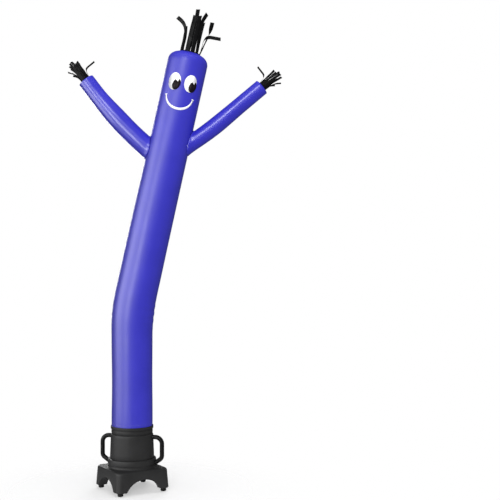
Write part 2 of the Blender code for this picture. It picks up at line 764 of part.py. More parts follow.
# Moulded plastic: two bent bars, each from the drum's side down to the stand's neck.
def make_handles(blower):
    start = DRUM_SIDE + GAP
    end = NECK_RADIUS + GAP
    turns = [2 * pi * i / HANDLE_SIDES for i in range(HANDLE_SIDES)]
    across = Vector((0, 1, 0))
    corners = [Vector((start, 0, HANDLE_TOP)), Vector((HANDLE_OUT, 0, HANDLE_TOP)),
               Vector((HANDLE_OUT, 0, HANDLE_BEND)), Vector((end, 0, HANDLE_LOW))]
    route = rounded_route(corners, HANDLE_ROUNDS)
    for name, way in (("right", 1), ("left", -1)):
        rings = []
        for i, point in enumerate(route):
            along = (route[min(i + 1, len(route) - 1)] - route[max(i - 1, 0)]).normalized()
            out = across.cross(along)
            rings.append([point + (across * cos(t) + out * sin(t)) * HANDLE_RADIUS for t in turns])
        for ring, reach in ((rings[0], start), (rings[-1], end)):
            for point in ring:
                point.x = sqrt(reach ** 2 - point.y ** 2)
        handle = skin(rings, ends=False)
        handle.verts.ensure_lookup_table()
        for first in (0, len(handle.verts) - HANDLE_SIDES):
            row = handle.verts[first:first + HANDLE_SIDES]
            for k in range(HANDLE_SIDES // 2):
                strip = [row[k], row[k + 1], row[-1 - k], row[-k]]
                handle.faces.new(list(dict.fromkeys(strip)))
        if way < 0:
            bmesh.ops.rotate(handle, verts=handle.verts, matrix=Matrix.Rotation(pi, 3, "Z"))
        piece(f"handle_{name}", handle, "moulded_plastic", blower)


def round_switch(half, low, high, round_by=0.0, segments=2):
    """A block about the switch's middle, with its half width and half height, between two places along Y."""
    x, z = SWITCH
    return block((x - half[0], low, z - half[1]), (x + half[0], high, z + half[1]), round_by, segments)


# Moulded plastic: the control box's cover is a plate with a hood over a lower panel with the switch's pocket.
def make_cover(blower):
    face = BOSS_FACE + GAP
    front = face + PLATE_THICK
    panel_half = BOX_HALF - BOX_SINK
    plate = block((-PLATE_HALF, face, PLATE_Z[0]), (PLATE_HALF, front, PLATE_Z[1]), PLATE_ROUND, 1)
    cover = piece("control_cover", plate, "moulded_plastic", blower)
    hood = block((-BOX_HALF, front - BOX_SINK, HOOD_Z[0]), (BOX_HALF, HOOD_OUT, HOOD_Z[1]), HOOD_ROUND)
    sunk = front - BOX_SINK * 1.2
    panel = block((-panel_half, sunk, PANEL_Z[0]), (panel_half, PANEL_OUT, PANEL_Z[1]), PANEL_ROUND)
    combine(cover, cutter("cover_hood", hood, blower), "UNION")
    combine(cover, cutter("cover_panel", panel, blower), "UNION")
    pocket = round_switch(POCKET_HALF, PANEL_OUT - 0.012, PANEL_OUT + 0.010)
    combine(cover, cutter("cover_pocket", pocket, blower), "DIFFERENCE")


# Steel: a low round head for each of the four screws that hold the cover.
def make_screws(blower):
    seat = BOSS_FACE + PLATE_THICK + 2 * GAP
    head = [(1.0, 0.0), (1.0, 0.0008), (0.75, 0.0019), (0.3, 0.0024)]
    profile = [(SCREW_RADIUS * share, height) for share, height in head]
    for side, x in (("right", -SCREW_X), ("left", SCREW_X)):
        for row, z in zip(("low", "high"), SCREW_Z):
            screw = piece(f"screw_{row}_{side}", turned(profile, 12), "nickel", blower)
            screw.rotation_euler.x = -pi / 2
            screw.location = (x, seat, z)


# Plastic: the switch is a frame in the pocket and a green rocker that tips about an upright axis in it.
def make_switch(blower):
    face = PANEL_OUT + GAP
    rim = round_switch(FRAME_HALF, face, face + FRAME_THICK, 0.0008, 1)
    frame = piece("switch_frame", rim, "black_plastic", blower)
    collar = round_switch(COLLAR_HALF, PANEL_OUT - 0.010, face + FRAME_THICK / 2)
    combine(frame, cutter("switch_collar", collar, blower), "UNION")
    well = round_switch(WELL_HALF, PANEL_OUT - 0.020, face + 0.010)
    combine(frame, cutter("switch_well", well, blower), "DIFFERENCE")
    half, high = ROCKER_HALF
    outline = [(-half, ROCKER_CREST), (0, ROCKER_VALLEY), (half, ROCKER_CREST),
               (half, ROCKER_UNDER), (-half, ROCKER_UNDER)]
    ends = [[(x, y, z) for x, y in outline] for z in (-high, high)]
    rocker = piece("rocker", skin(ends), "green_plastic", blower)
    x, z = SWITCH
    rocker.location = (x, PANEL_OUT + 0.0005, z)
    rocker.rotation_euler.z = -ROCKER_TILT


# The cable gland's outside, from its flange under the panel down to its mouth: radius and distance down.
GLAND_OUTSIDE = (
    (0.0110, 0.0),
    (0.0110, 0.0020),
    (0.0088, 0.0025),
    (0.0088, 0.0122),
    (0.0092, 0.0152),
    (0.0080, 0.0197),
    (0.0058, 0.0222),
)


# Nickelled brass: a cable gland under the panel, with a six-sided nut and a domed end with the cable's hole.
def make_gland(blower):
    body = piece("cable_gland", turned([(r, -down) for r, down in GLAND_OUTSIDE], 20), "nickel", blower)
    nut = bmesh.new()
    bmesh.ops.create_cone(nut, cap_ends=True, segments=6, radius1=NUT_RADIUS, radius2=NUT_RADIUS,
                          depth=NUT_HIGH, matrix=Matrix.Translation((0, 0, -NUT_DOWN)))
    nut_shape = cutter("gland_nut", nut, blower)
    combine(body, nut_shape, "UNION")
    hole = cutter("gland_hole", turned([(GLAND_HOLE, -0.037), (GLAND_HOLE, -0.0142)], 12), blower)
    combine(body, hole, "DIFFERENCE")
    for obj in (body, nut_shape, hole):
        obj.location = (*GLAND, GLAND_TOP)


def centre_on_the_ground(root):
    """Moves everything so that the origin is the middle of the object's box, at its foot."""
    bpy.context.view_layer.update()
    graph = bpy.context.evaluated_depsgraph_get()
    far = 1e9
    low, high = Vector((far, far, far)), Vector((-far, -far, -far))
    for obj in bpy.context.scene.objects:
        if obj.type != "MESH" or obj.hide_render:
            continue
        shown = obj.evaluated_get(graph)
        for vert in shown.data.vertices:
            point = shown.matrix_world @ vert.co
            low = Vector(map(min, low, point))
            high = Vector(map(max, high, point))
    root.location = (-(low.x + high.x) / 2, -(low.y + high.y) / 2, -low.z)


def main():
    clear_scene()
    root = empty("air_dancer")
    blower = empty("blower", root, BLOWER_TURN)
    make_stand(blower)
    make_feet(blower)
    make_drum(blower)
    make_ring(blower)
    make_handles(blower)
    make_cover(blower)
    make_screws(blower)
    make_switch(blower)
    make_gland(blower)
    make_body(root)
    make_arms(root)
    make_hair_and_fringes(root)
    make_face(root)
    shade_cut_pieces()
    centre_on_the_ground(root)


main()
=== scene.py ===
from collections import namedtuple
from math import acos, asin, atan2, cos, exp, pi, radians, sin, sqrt, tan

import bmesh
import bpy
from mathutils import Matrix, Vector, noise


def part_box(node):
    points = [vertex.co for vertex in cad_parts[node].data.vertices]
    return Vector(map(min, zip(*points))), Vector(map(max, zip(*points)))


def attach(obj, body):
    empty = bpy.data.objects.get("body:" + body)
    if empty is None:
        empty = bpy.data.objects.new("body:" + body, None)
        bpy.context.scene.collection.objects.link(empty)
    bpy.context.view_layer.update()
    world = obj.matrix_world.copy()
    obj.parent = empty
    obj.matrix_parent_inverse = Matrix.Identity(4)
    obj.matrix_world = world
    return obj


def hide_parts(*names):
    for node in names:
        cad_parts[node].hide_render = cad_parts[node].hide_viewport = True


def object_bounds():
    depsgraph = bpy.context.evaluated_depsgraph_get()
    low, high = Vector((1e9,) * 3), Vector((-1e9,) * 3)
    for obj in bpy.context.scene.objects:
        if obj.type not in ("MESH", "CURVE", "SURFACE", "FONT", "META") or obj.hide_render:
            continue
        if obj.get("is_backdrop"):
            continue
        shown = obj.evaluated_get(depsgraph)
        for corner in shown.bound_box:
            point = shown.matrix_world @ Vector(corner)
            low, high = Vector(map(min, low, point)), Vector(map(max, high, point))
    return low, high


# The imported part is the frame: metres, +Z up, the face looks along -Y. Everything stands round the blower's
# upright axis, which is the middle of its outlet ring.
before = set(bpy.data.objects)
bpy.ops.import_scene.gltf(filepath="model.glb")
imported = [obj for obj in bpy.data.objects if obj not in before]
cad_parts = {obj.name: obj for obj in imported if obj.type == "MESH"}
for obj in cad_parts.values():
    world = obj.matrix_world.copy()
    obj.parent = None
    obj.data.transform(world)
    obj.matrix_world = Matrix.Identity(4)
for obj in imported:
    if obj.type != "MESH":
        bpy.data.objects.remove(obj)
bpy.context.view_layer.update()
ring_low, ring_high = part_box("outlet_ring")
blower_axis = Vector(((ring_low.x + ring_high.x) / 2, (ring_low.y + ring_high.y) / 2, 0))
front = Vector((0, -1, 0))


# Stand: a hollow square base on four legs, with an arch in each side and a round neck on top, moulded in one
# piece in charcoal plastic with a fine matt grain. Its corners, not its sides, face front and back.

blower_turn = Matrix.Translation(blower_axis) @ Matrix.Rotation(radians(-13.5), 4, "Z")
stand_bottom, stand_top = 0.022, 0.202
leg_half, leg_corner = 0.1815, 0.040
shoulder_from, shoulder_half, shoulder_corner = 0.126, 0.1750, 0.040
plate_height, plate_half, plate_corner = 0.1440, 0.1655, 0.036
fillet = 0.0110
neck_radius, band_radius = 0.1500, 0.1525
duct_radius = 0.122
hollow_radius, hollow_high = 0.1710, 0.1160
arch_half, arch_top = 0.1175, 0.092
side_points, corner_points, curve_steps = 14, 14, 6
mould_round = 0.0016


def add(tree, kind, values=(), links=(), **settings):
    """A shader node with its settings, the values on its sockets and its links from other nodes."""
    made = tree.nodes.new("ShaderNode" + kind)
    for name, value in settings.items():
        setattr(made, name, value)
    for socket, value in values:
        made.inputs[socket].default_value = value
    for socket, source in links:
        tree.links.new(source, made.inputs[socket])
    return made


def effect(name, inputs, outputs):
    """An empty node group with named inputs and outputs, its start and its end."""
    group = bpy.data.node_groups.new(name, "ShaderNodeTree")
    for socket, kind in inputs:
        group.interface.new_socket(socket, in_out="INPUT", socket_type="NodeSocket" + kind)
    for socket, kind in outputs:
        group.interface.new_socket(socket, in_out="OUTPUT", socket_type="NodeSocket" + kind)
    return group, group.nodes.new("NodeGroupInput").outputs, group.nodes.new("NodeGroupOutput").inputs


def new_finish(name, roughness, metallic=0.0, shine=0.5):
    """A material with its node tree and its shader, to which the finish is then linked."""
    material = bpy.data.materials.new(name)
    material.use_nodes = True
    shader = material.node_tree.nodes["Principled BSDF"]
    shader.inputs["Roughness"].default_value = roughness
    shader.inputs["Metallic"].default_value = metallic
    shader.inputs["Specular IOR Level"].default_value = shine
    return material, material.node_tree, shader.inputs


def maths(tree, operation, *values):
    """A calculation from numbers and other nodes' sockets, as the socket that it comes out of."""
    made = add(tree, "Math", operation=operation)
    for socket, value in zip(made.inputs, values):
        if isinstance(value, (int, float)):
            socket.default_value = value
        else:
            tree.links.new(value, socket)
    return made.outputs[0]


def cloudy(tree, places, **values):
    """A noise over places, with its settings by name."""
    return add(tree, "TexNoise", list(values.items()), [("Vector", places)]).outputs["Fac"]


def mapped(tree, value, low, high, start=0.0, end=1.0, how="LINEAR"):
    """A value that goes from start to end, carried over to a range from low to high."""
    sizes = [("From Min", start), ("From Max", end), ("To Min", low), ("To Max", high)]
    return add(tree, "MapRange", sizes, [("Value", value)], interpolation_type=how).outputs["Result"]


def two_tones(tree, share, dark, light, dark_at=0.0, light_at=1.0):
    """A colour that goes from one tone to another."""
    ramp = add(tree, "ValToRGB", (), [("Fac", share)])
    for end, place, tone in zip(ramp.color_ramp.elements, (dark_at, light_at), (dark, light)):
        end.position = place
        end.color = (*tone, 1)
    return ramp.outputs["Color"]


def surfaced(tree, sockets, colour, rough, relief):
    """Gives a shader its colour, its roughness and a relief in metres."""
    bump = add(tree, "Bump", [("Distance", 1.0)], [("Height", relief)])
    for socket, source in (("Base Color", colour), ("Roughness", rough), ("Normal", bump.outputs["Normal"])):
        tree.links.new(source, sockets[socket])


def use(tree, group, values=(), links=()):
    """A node group placed in a material with its own values."""
    return add(tree, "Group", values, links, node_tree=group)


# The grain of a mould: fine pits, and a slow change of tone over a hand's width.
grain, into, out = effect("mould grain", [("Pit Size", "Float"), ("Pit Depth", "Float")],
                          [("Height", "Float"), ("Tone", "Float")])
where = add(grain, "TexCoord").outputs["Object"]
pits = add(grain, "TexNoise", [("Detail", 3.0), ("Roughness", 0.6)],
           [("Vector", where), ("Scale", maths(grain, "DIVIDE", 1.0, into["Pit Size"]))])
grain.links.new(maths(grain, "MULTIPLY", pits.outputs["Fac"], into["Pit Depth"]), out["Height"])
grain.links.new(cloudy(grain, where, Scale=9.0, Detail=4.0, Roughness=0.55), out["Tone"])


def moulded(name, dark, light, smoothest, roughest, pit_size=0.0011, pit_depth=0.00010, shine=0.4):
    """A moulded plastic between two tones and two roughnesses."""
    material, tree, sockets = new_finish(name, roughest, shine=shine)
    grained = use(tree, grain, [("Pit Size", pit_size), ("Pit Depth", pit_depth)]).outputs
    surfaced(tree, sockets, two_tones(tree, grained["Tone"], dark, light, 0.30, 0.72),
             mapped(tree, grained["Tone"], smoothest, roughest), grained["Height"])
    return material


def added(name, data):
    """An object in the scene, at the origin."""
    obj = bpy.data.objects.new(name, data)
    bpy.context.scene.collection.objects.link(obj)
    return obj


def meshed(name, bm):
    """A bmesh as an object."""
    mesh = bpy.data.meshes.new(name)
    bm.to_mesh(mesh)
    bm.free()
    return added(name, mesh)


def finished(name, bm, material, stands_for=(), thickness=0.0, offset=-1.0, body="root",
             crease=40):
    """Ends a bmesh: an object with its material and its cloth's thickness, riding on its CAD body."""
    obj = meshed(name, bm)
    obj.data.materials.append(material)
    obj.data.shade_smooth()
    obj.data.set_sharp_from_angle(angle=radians(crease))
    if thickness:
        solidify = obj.modifiers.new("cloth thickness", "SOLIDIFY")
        solidify.thickness = thickness
        solidify.offset = offset
        solidify.use_even_offset = True
    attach(obj, body)
    if stands_for:
        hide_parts(*stands_for)
    return obj


def drawn_on(bm, edges):
    """Extrudes open edges and gives the fresh points and edges, in the order of the old ones."""
    grown = bmesh.ops.extrude_edge_only(bm, edges=edges)["geom"]
    points = [part for part in grown if isinstance(part, bmesh.types.BMVert)]
    fresh = set(points)
    edges = [part for part in grown if isinstance(part, bmesh.types.BMEdge)]
    return points, [edge for edge in edges if fresh.issuperset(edge.verts)]


def wall(rows, closed):
    """A wall drawn through rings of points. It comes back to its first ring, or else its ends are filled."""
    bm = bmesh.new()
    bmesh.ops.create_circle(bm, segments=len(rows[0]), radius=1.0)
    ring, edges = bm.verts[:], bm.edges[:]
    first = edges
    for k, row in enumerate(rows):
        if k:
            ring, edges = drawn_on(bm, edges)
        for vert, point in zip(ring, row):
            vert.co = point
    if closed:
        bmesh.ops.bridge_loops(bm, edges=first + edges)
    else:
        bmesh.ops.holes_fill(bm, edges=bm.edges[:], sides=0)
    bmesh.ops.recalc_face_normals(bm, faces=bm.faces)
    return bm


def facing(bm, way):
    """Turns the faces that look away from a direction."""
    bm.normal_update()
    for face in bm.faces:
        if face.normal.dot(way) < 0:
            face.normal_flip()


def carved(bm, cutters):
    """The bmesh with other shapes cut out of it."""
    made = [meshed("carving", shape) for shape in [bm] + cutters]
    for other in made[1:]:
        cut = made[0].modifiers.new("cut", "BOOLEAN")
        cut.operation = "DIFFERENCE"
        cut.solver = "EXACT"
        cut.object = other
    bm = bmesh.new()
    bm.from_object(made[0], bpy.context.evaluated_depsgraph_get())
    for obj in made:
        mesh = obj.data
        bpy.data.objects.remove(obj)
        bpy.data.meshes.remove(mesh)
    return bm


def rounded(bm, edges, width, segments):
    bmesh.ops.bevel(bm, geom=edges, offset=width, segments=segments, profile=0.5, affect="EDGES",
                    material=-1, clamp_overlap=True)


def set_down(bm, place=Matrix()):
    """Moves a shape to its place in the blower's frame, and from there to the row's."""
    bmesh.ops.transform(bm, matrix=blower_turn @ place, verts=bm.verts)
    return bm


def soften(bm, width, sharper_than=35, segments=3):
    """Rounds every edge that is sharper than an angle and sets the shape down."""
    bmesh.ops.remove_doubles(bm, verts=bm.verts, dist=width * 0.2)
    bmesh.ops.dissolve_degenerate(bm, edges=bm.edges, dist=width * 0.1)
    bm.normal_update()
    edges = [edge for edge in bm.edges if edge.is_manifold and edge.calc_face_angle() > radians(sharper_than)]
    rounded(bm, edges, width, segments)
    return set_down(bm)


charcoal_plastic = moulded("charcoal plastic", (0.0165, 0.0165, 0.0168), (0.0220, 0.0220, 0.0225),
                           0.48, 0.60, shine=0.32)

leg_flat = leg_half - leg_corner
quarter = [atan2((i / side_points * 2 - 1) * leg_flat, leg_half) for i in range(side_points)]
for i in range(corner_points):
    bend = pi / 2 * i / corner_points
    quarter.append(atan2(leg_flat + leg_corner * sin(bend), leg_flat + leg_corner * cos(bend)))
stand_turns = [turn + side * pi / 2 + pi / 4 for side in range(4) for turn in quarter]


def square_reach(turn, half, corner):
    """How far a circle, or a square with rounded corners that lie on X and Y, reaches at an angle."""
    if corner is None:
        return half
    local = turn % (pi / 2) - pi / 4
    flat = half / cos(local)
    if abs(flat * sin(local)) <= half - corner:
        return flat
    offset = half - corner
    along = offset * (cos(local) + sin(abs(local)))
    return along + sqrt(along * along - 2 * offset * offset + corner * corner)


outside = [(stand_bottom, 0.1780, 0.038), (stand_bottom + 0.0012, 0.1803, 0.0395),
           (stand_bottom + 0.0040, leg_half, leg_corner), (shoulder_from, shoulder_half, shoulder_corner)]
for i in range(1, curve_steps + 1):
    bend = pi / 2 * i / curve_steps
    outside.append((shoulder_from + (plate_height - shoulder_from) * sin(bend),
                    plate_half + (shoulder_half - plate_half) * cos(bend),
                    plate_corner + (shoulder_corner - plate_corner) * cos(bend)))
for i in range(curve_steps + 1):
    bend = pi / 2 * i / curve_steps
    outside.append((plate_height + 0.003 + fillet * (1 - cos(bend)),
                    neck_radius + fillet * (1 - sin(bend)), None))
outside += [(0.1662, neck_radius, None), (0.1680, band_radius, None), (0.1950, band_radius, None),
            (0.2000, 0.1505, None), (stand_top, 0.1460, None)]
inside = [(stand_top, duct_radius), (0.1880, duct_radius), (0.1780, 0.1400), (0.1480, 0.1400),
          (0.1400, 0.1430), (0.1300, 0.1600), (hollow_high, hollow_radius), (stand_bottom, hollow_radius)]
rows = []
for height, *across in outside + [(height, reach, None) for height, reach in inside]:
    radii = [square_reach(turn, *across) for turn in stand_turns]
    rows.append([(r * cos(turn), r * sin(turn), height) for r, turn in zip(radii, stand_turns)])
arch_rise = arch_top - stand_bottom
arch_radius = (arch_half ** 2 + arch_rise ** 2) / (2 * arch_rise)
arches = []
for turn in (pi / 4, -pi / 4):
    bm = bmesh.new()
    lying = Matrix.Translation((0, 0, arch_top - arch_radius)) @ Matrix.Rotation(pi / 2, 4, "X")
    bmesh.ops.create_cone(bm, cap_ends=True, segments=160, radius1=arch_radius, radius2=arch_radius,
                          depth=0.6, matrix=Matrix.Rotation(turn, 4, "Z") @ lying)
    arches.append(bm)
stand = soften(carved(wall(rows, closed=True), arches), mould_round)
finished("stand_moulding", stand, charcoal_plastic, ["stand"], crease=30)


# Feet: a turned rubber plug under each leg, with a bevelled tread.

foot_profile = ((0.0, 0.0), (0.0125, 0.0), (0.0140, 0.0006), (0.0168, 0.0030), (0.0175, 0.0045),
                (0.0175, 0.0195), (0.0170, 0.0217), (0.0, 0.0217))
foot_out = 0.208
rubber = moulded("foot rubber", (0.0045, 0.0045, 0.0045), (0.0080, 0.0080, 0.0078), 0.70, 0.85, 0.0020,
                 0.0002)


def turned_shape(profile, steps=96, closed=False):
    """A shape turned about Z from (radius, height) points. A closed profile makes a ring."""
    bm = bmesh.new()
    points = [bm.verts.new((radius, 0, height)) for radius, height in profile]
    edges = [bm.edges.new(pair) for pair in zip(points, points[1:])]
    if closed:
        edges.append(bm.edges.new((points[-1], points[0])))
    bmesh.ops.spin(bm, geom=points + edges, cent=(0, 0, 0), axis=(0, 0, 1), angle=2 * pi, steps=steps,
                   use_merge=True)
    bmesh.ops.remove_doubles(bm, verts=bm.verts, dist=1e-6)
    bmesh.ops.recalc_face_normals(bm, faces=bm.faces)
    return bm


for name, (x, y) in {"right": (1, 0), "back": (0, 1), "left": (-1, 0), "front": (0, -1)}.items():
    foot = set_down(turned_shape(foot_profile, 40), Matrix.Translation((x * foot_out, y * foot_out, 0)))
    finished(f"foot_plug_{name}", foot, rubber, [f"foot_{name}"])


# Fan drum: a slightly conical duct pressed on the stand's neck, with a flat boss on its back for the control
# box.

drum_profile = ((0.1395, 0.2023), (0.1385, 0.235), (0.1372, 0.268), (0.1358, 0.302), (0.1345, 0.335),
                (0.1341, 0.345), (0.1332, 0.3505), (0.1305, 0.356), (duct_radius, 0.356),
                (duct_radius, 0.2023))
boss_low, boss_high = Vector((-0.0725, 0.105, 0.209)), Vector((0.0725, 0.1452, 0.345))
boss_round = 0.010


def block(bm, low, high):
    """Adds a box between two corners."""
    place = Matrix.Translation((low + high) / 2) @ Matrix.Diagonal((*(high - low), 1))
    bmesh.ops.create_cube(bm, size=1.0, matrix=place)
    return bm


drum = block(turned_shape(drum_profile, 144, closed=True), boss_low, boss_high)
corners = [vert for vert in drum.verts if len(vert.link_edges) == 3]
rounded(drum, list({edge for vert in corners for edge in vert.link_edges}), boss_round, 5)
finished("drum_moulding", soften(drum, 0.0007, 30, 2), charcoal_plastic, ["fan_drum"],
         crease=35)


# Outlet ring: pressed on the drum. It has a rim over two grooves and, inside, a ledge for the cloth's hem.

ring_profile = ((0.1345, 0.4055), (0.1345, 0.3900), (0.1275, 0.3885), (0.1275, 0.3845), (0.1305, 0.3830),
                (0.1305, 0.3640), (0.1265, 0.3625), (0.1265, 0.3563), (0.1200, 0.3563), (0.1200, 0.3890),
                (0.1304, 0.3890), (0.1304, 0.4070), (0.1332, 0.4070))
ring = turned_shape(ring_profile, 144, closed=True)
finished("ring_moulding", soften(ring, 0.0006, 30, 2), charcoal_plastic, ["outlet_ring"])


# Handles: a bar of black plastic on each side, bent in to the drum at its top and to the stand's neck at its
# foot.

bar_radius = 0.014
bar_sides, bar_steps = 28, 14
bar_out, bar_top, bar_turn_in, bar_low = 0.1990, 0.336, 0.205, 0.173
bar_ends = (0.1340, 0.1520)
bar_bends = (0.042, 0.032)
black_plastic = moulded("black plastic", (0.0035, 0.0035, 0.0037), (0.0055, 0.0055, 0.0057), 0.36, 0.48,
                        shine=0.22)

corners = [Vector((x, 0, z)) for x, z in ((bar_ends[0], bar_top), (bar_out, bar_top),
                                          (bar_out, bar_turn_in), (bar_ends[1], bar_low))]
route = [corners[0]]
for before, corner, after, bend in zip(corners, corners[1:], corners[2:], bar_bends):
    back = (before - corner).normalized()
    on = (after - corner).normalized()
    half = acos(back.dot(on)) / 2
    centre = corner + (back + on).normalized() * bend / sin(half)
    first, last = [(corner + way * bend / tan(half) - centre).normalized() for way in (back, on)]
    for i in range(bar_steps + 1):
        route.append(centre + first.slerp(last, i / bar_steps) * bend)
route.append(corners[-1])
level = Vector((0, 1, 0))
turns = [2 * pi * k / bar_sides for k in range(bar_sides)]
sections = []
for before, point, after in zip(route[:1] + route, route, route[1:] + route[-1:]):
    out = level.cross((after - before).normalized())
    sections.append([point + (level * cos(turn) + out * sin(turn)) * bar_radius for turn in turns])
for name, turn in (("right", 0), ("left", pi)):
    bar = set_down(wall(sections, closed=False), Matrix.Rotation(turn, 4, "Z"))
    finished(f"handle_bar_{name}", bar, black_plastic, [f"handle_{name}"])


# Control box: a moulded plate with a hood over a lower panel, held by four nickelled screws with a cross in
# the head. A nickelled brass gland for the cable stands under it.

nickel, tree, sockets = new_finish("nickel", 0.24, 1.0)
scuffs = cloudy(tree, add(tree, "TexCoord").outputs["Object"], Scale=260.0, Detail=4.0)
tree.links.new(two_tones(tree, scuffs, (0.52, 0.52, 0.50), (0.80, 0.80, 0.78)), sockets["Base Color"])
tree.links.new(mapped(tree, scuffs, 0.16, 0.34), sockets["Roughness"])

# Each block: its low and its high corner, and how far its edges are rounded.
cover_blocks = {"plate": (Vector((-0.0690, 0.1455, 0.2125)), Vector((0.0690, 0.1490, 0.3415)), 0.0012),
                "hood": (Vector((-0.0560, 0.1480, 0.2620)), Vector((0.0560, 0.1870, 0.3305)), 0.0080),
                "panel": (Vector((-0.0550, 0.1478, 0.2175)), Vector((0.0550, 0.1720, 0.2660)), 0.0060)}
pocket_low, pocket_high = Vector((-0.0287, 0.160, 0.2290)), Vector((-0.0027, 0.182, 0.2520))
for name, (low, high, round_by) in cover_blocks.items():
    cover = block(bmesh.new(), low, high)
    rounded(cover, cover.edges[:], round_by, 7)
    if name == "panel":
        cover = carved(cover, [block(bmesh.new(), pocket_low, pocket_high)])
    finished(f"cover_{name}", set_down(cover), charcoal_plastic, ["control_cover"],
             crease=35)
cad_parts["cable_gland"].material_slots[0].material = nickel

screw_profile = ((0.0, 0.0), (0.0040, 0.0), (0.0040, 0.0007), (0.0037, 0.0013), (0.0030, 0.0019),
                 (0.0018, 0.0023), (0.0, 0.0024))
screw_seat, screw_high = 0.1493, 0.0024
screw_turn = 0.3
cross_long, cross_wide, cross_deep = 0.0040, 0.0008, 0.0012
for row, height in (("low", 0.2195), ("high", 0.3345)):
    for side, across in (("right", -0.0625), ("left", 0.0625)):
        cross = []
        for turn in (screw_turn, screw_turn + pi / 2):
            cut = Vector((cross_long, cross_wide, cross_deep * 2)) / 2
            groove = block(bmesh.new(), -cut, cut)
            place = Matrix.Translation((0, 0, screw_high)) @ Matrix.Rotation(turn + across * 40, 4, "Z")
            bmesh.ops.transform(groove, verts=groove.verts, matrix=place)
            cross.append(groove)
        place = Matrix.Translation((across, screw_seat, height)) @ Matrix.Rotation(-pi / 2, 4, "X")
        screw = set_down(carved(turned_shape(screw_profile, 28), cross), place)
        finished(f"screw_head_{row}_{side}", screw, nickel, [f"screw_{row}_{side}"])


# Switch: a black frame with a green rocker that tips about an upright axis. On the rocker's faces a dash and
# a circle are printed in pale ink.

switch_x, switch_z = -0.0157, 0.2405
rocker_axis_out = 0.1725
rocker_valley, rocker_slope = 0.0010, atan2(0.0018, 0.0105)
rocker_rest = radians(-9.7)
mark_off = 0.0052
dash_half = (0.0019, 0.00038)
circle_profile = ((0.0012, 0), (0.0018, 0))
ink_thickness = 0.00012
green_plastic = moulded("green plastic", (0.006, 0.115, 0.060), (0.008, 0.135, 0.070), 0.22, 0.30, 0.0020,
                        0.00002, 0.5)
pale_ink = moulded("pale ink", (0.55, 0.60, 0.55), (0.65, 0.70, 0.65), 0.45, 0.55, 0.0010, 0.00001, 0.4)
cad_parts["rocker"].material_slots[0].material = green_plastic
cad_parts["switch_frame"].material_slots[0].material = black_plastic

dash = bmesh.new()
bmesh.ops.create_grid(dash, x_segments=4, y_segments=1, size=1.0,
                      matrix=Matrix.Diagonal((dash_half[0], dash_half[1], 1, 1)))
circle = turned_shape(circle_profile, 48)
outward = blower_turn.to_3x3() @ Vector((0, 1, 0))
tipped = Matrix.Translation((switch_x, rocker_axis_out, switch_z)) @ Matrix.Rotation(rocker_rest, 4, "Z")
for name, bm, way in (("dash", dash, 1), ("circle", circle, -1)):
    face = Matrix.Translation((0, rocker_valley + 0.00002, 0)) @ Matrix.Rotation(way * rocker_slope, 4, "Z")
    face = face @ Matrix.Translation((way * mark_off, 0, 0)) @ Matrix.Rotation(-pi / 2, 4, "X")
    facing(set_down(bm, tipped @ face), outward)
    finished(f"switch_{name}", bm, pale_ink, thickness=ink_thickness, offset=1.0,
             body="rocker")


# Body: one long tube of light coated nylon, hemmed where it sits in the outlet ring, kinked at the knee, with
# a domed head that is open in the middle. A flat seam runs down its back. The air inside holds it taut.

hem_height = 0.3893
knee_height = 1.128
knee_reach = 0.135
lean = radians(12.6)
head_up = 1.608
dome_height = 0.077
dome_squareness = 2.55
vent_radius = 0.066
body_sides = 112
nylon_thickness = 0.0009
fold_high, fold_reach, fold_long = 0.0016, 0.075, 0.052
gather_high, gather_reach, gathers_round = 0.0005, 0.10, 23
swell_high = 0.0016
girths = ((0.389, 0.1286), (0.430, 0.1296), (0.700, 0.1276), (0.960, 0.1296), (1.130, 0.1330),
          (1.330, 0.1316), (1.600, 0.1306), (2.090, 0.1296), (2.350, 0.1276), (2.700, 0.1276))
head_radius = girths[-1][1]


class BentLine:
    """The middle line of a tube, in an upright plane: straight, one round bend, and straight again."""

    def __init__(self, start, heading, turn, before, reach):
        self.start, self.heading, self.turn = start, heading, turn
        radius = reach / tan(abs(turn) / 2)
        self.straight, self.bend_long = before - reach, radius * abs(turn)
        self.shortening = 2 * reach - self.bend_long
        self.corner_end = start + self.axis(heading) * before + self.axis(heading + turn) * reach
        self.off = radius if turn > 0 else -radius
        self.centre = start + self.axis(heading) * self.straight + self.side(heading) * self.off

    def axis(self, angle):
        return Vector((sin(angle), 0, cos(angle)))

    def side(self, angle):
        return Vector((cos(angle), 0, -sin(angle)))

    def at(self, distance):
        """The point at a distance, the line's direction there, and the direction to the tube's side."""
        past = distance - self.straight
        if past <= 0:
            angle = self.heading
            point = self.start + self.axis(angle) * distance
        elif past >= self.bend_long:
            angle = self.heading + self.turn
            point = self.corner_end + self.axis(angle) * (past - self.bend_long)
        else:
            angle = self.heading + self.turn * past / self.bend_long
            point = self.centre - self.side(angle) * self.off
        return point, self.axis(angle), self.side(angle)


def eased(value, low, high):
    share = min(1.0, max(0.0, (value - low) / (high - low)))
    return share * share * (3 - 2 * share)


def outwards(side, turn):
    """The direction at an angle from the front, round towards a side."""
    return front * cos(turn) + side * sin(turn)


def girth_at(height):
    """The body's radius at a height."""
    for (low, first), (high, second) in zip(girths, girths[1:]):
        if height <= high:
            return first + (second - first) * eased(height, low, high)
    return head_radius


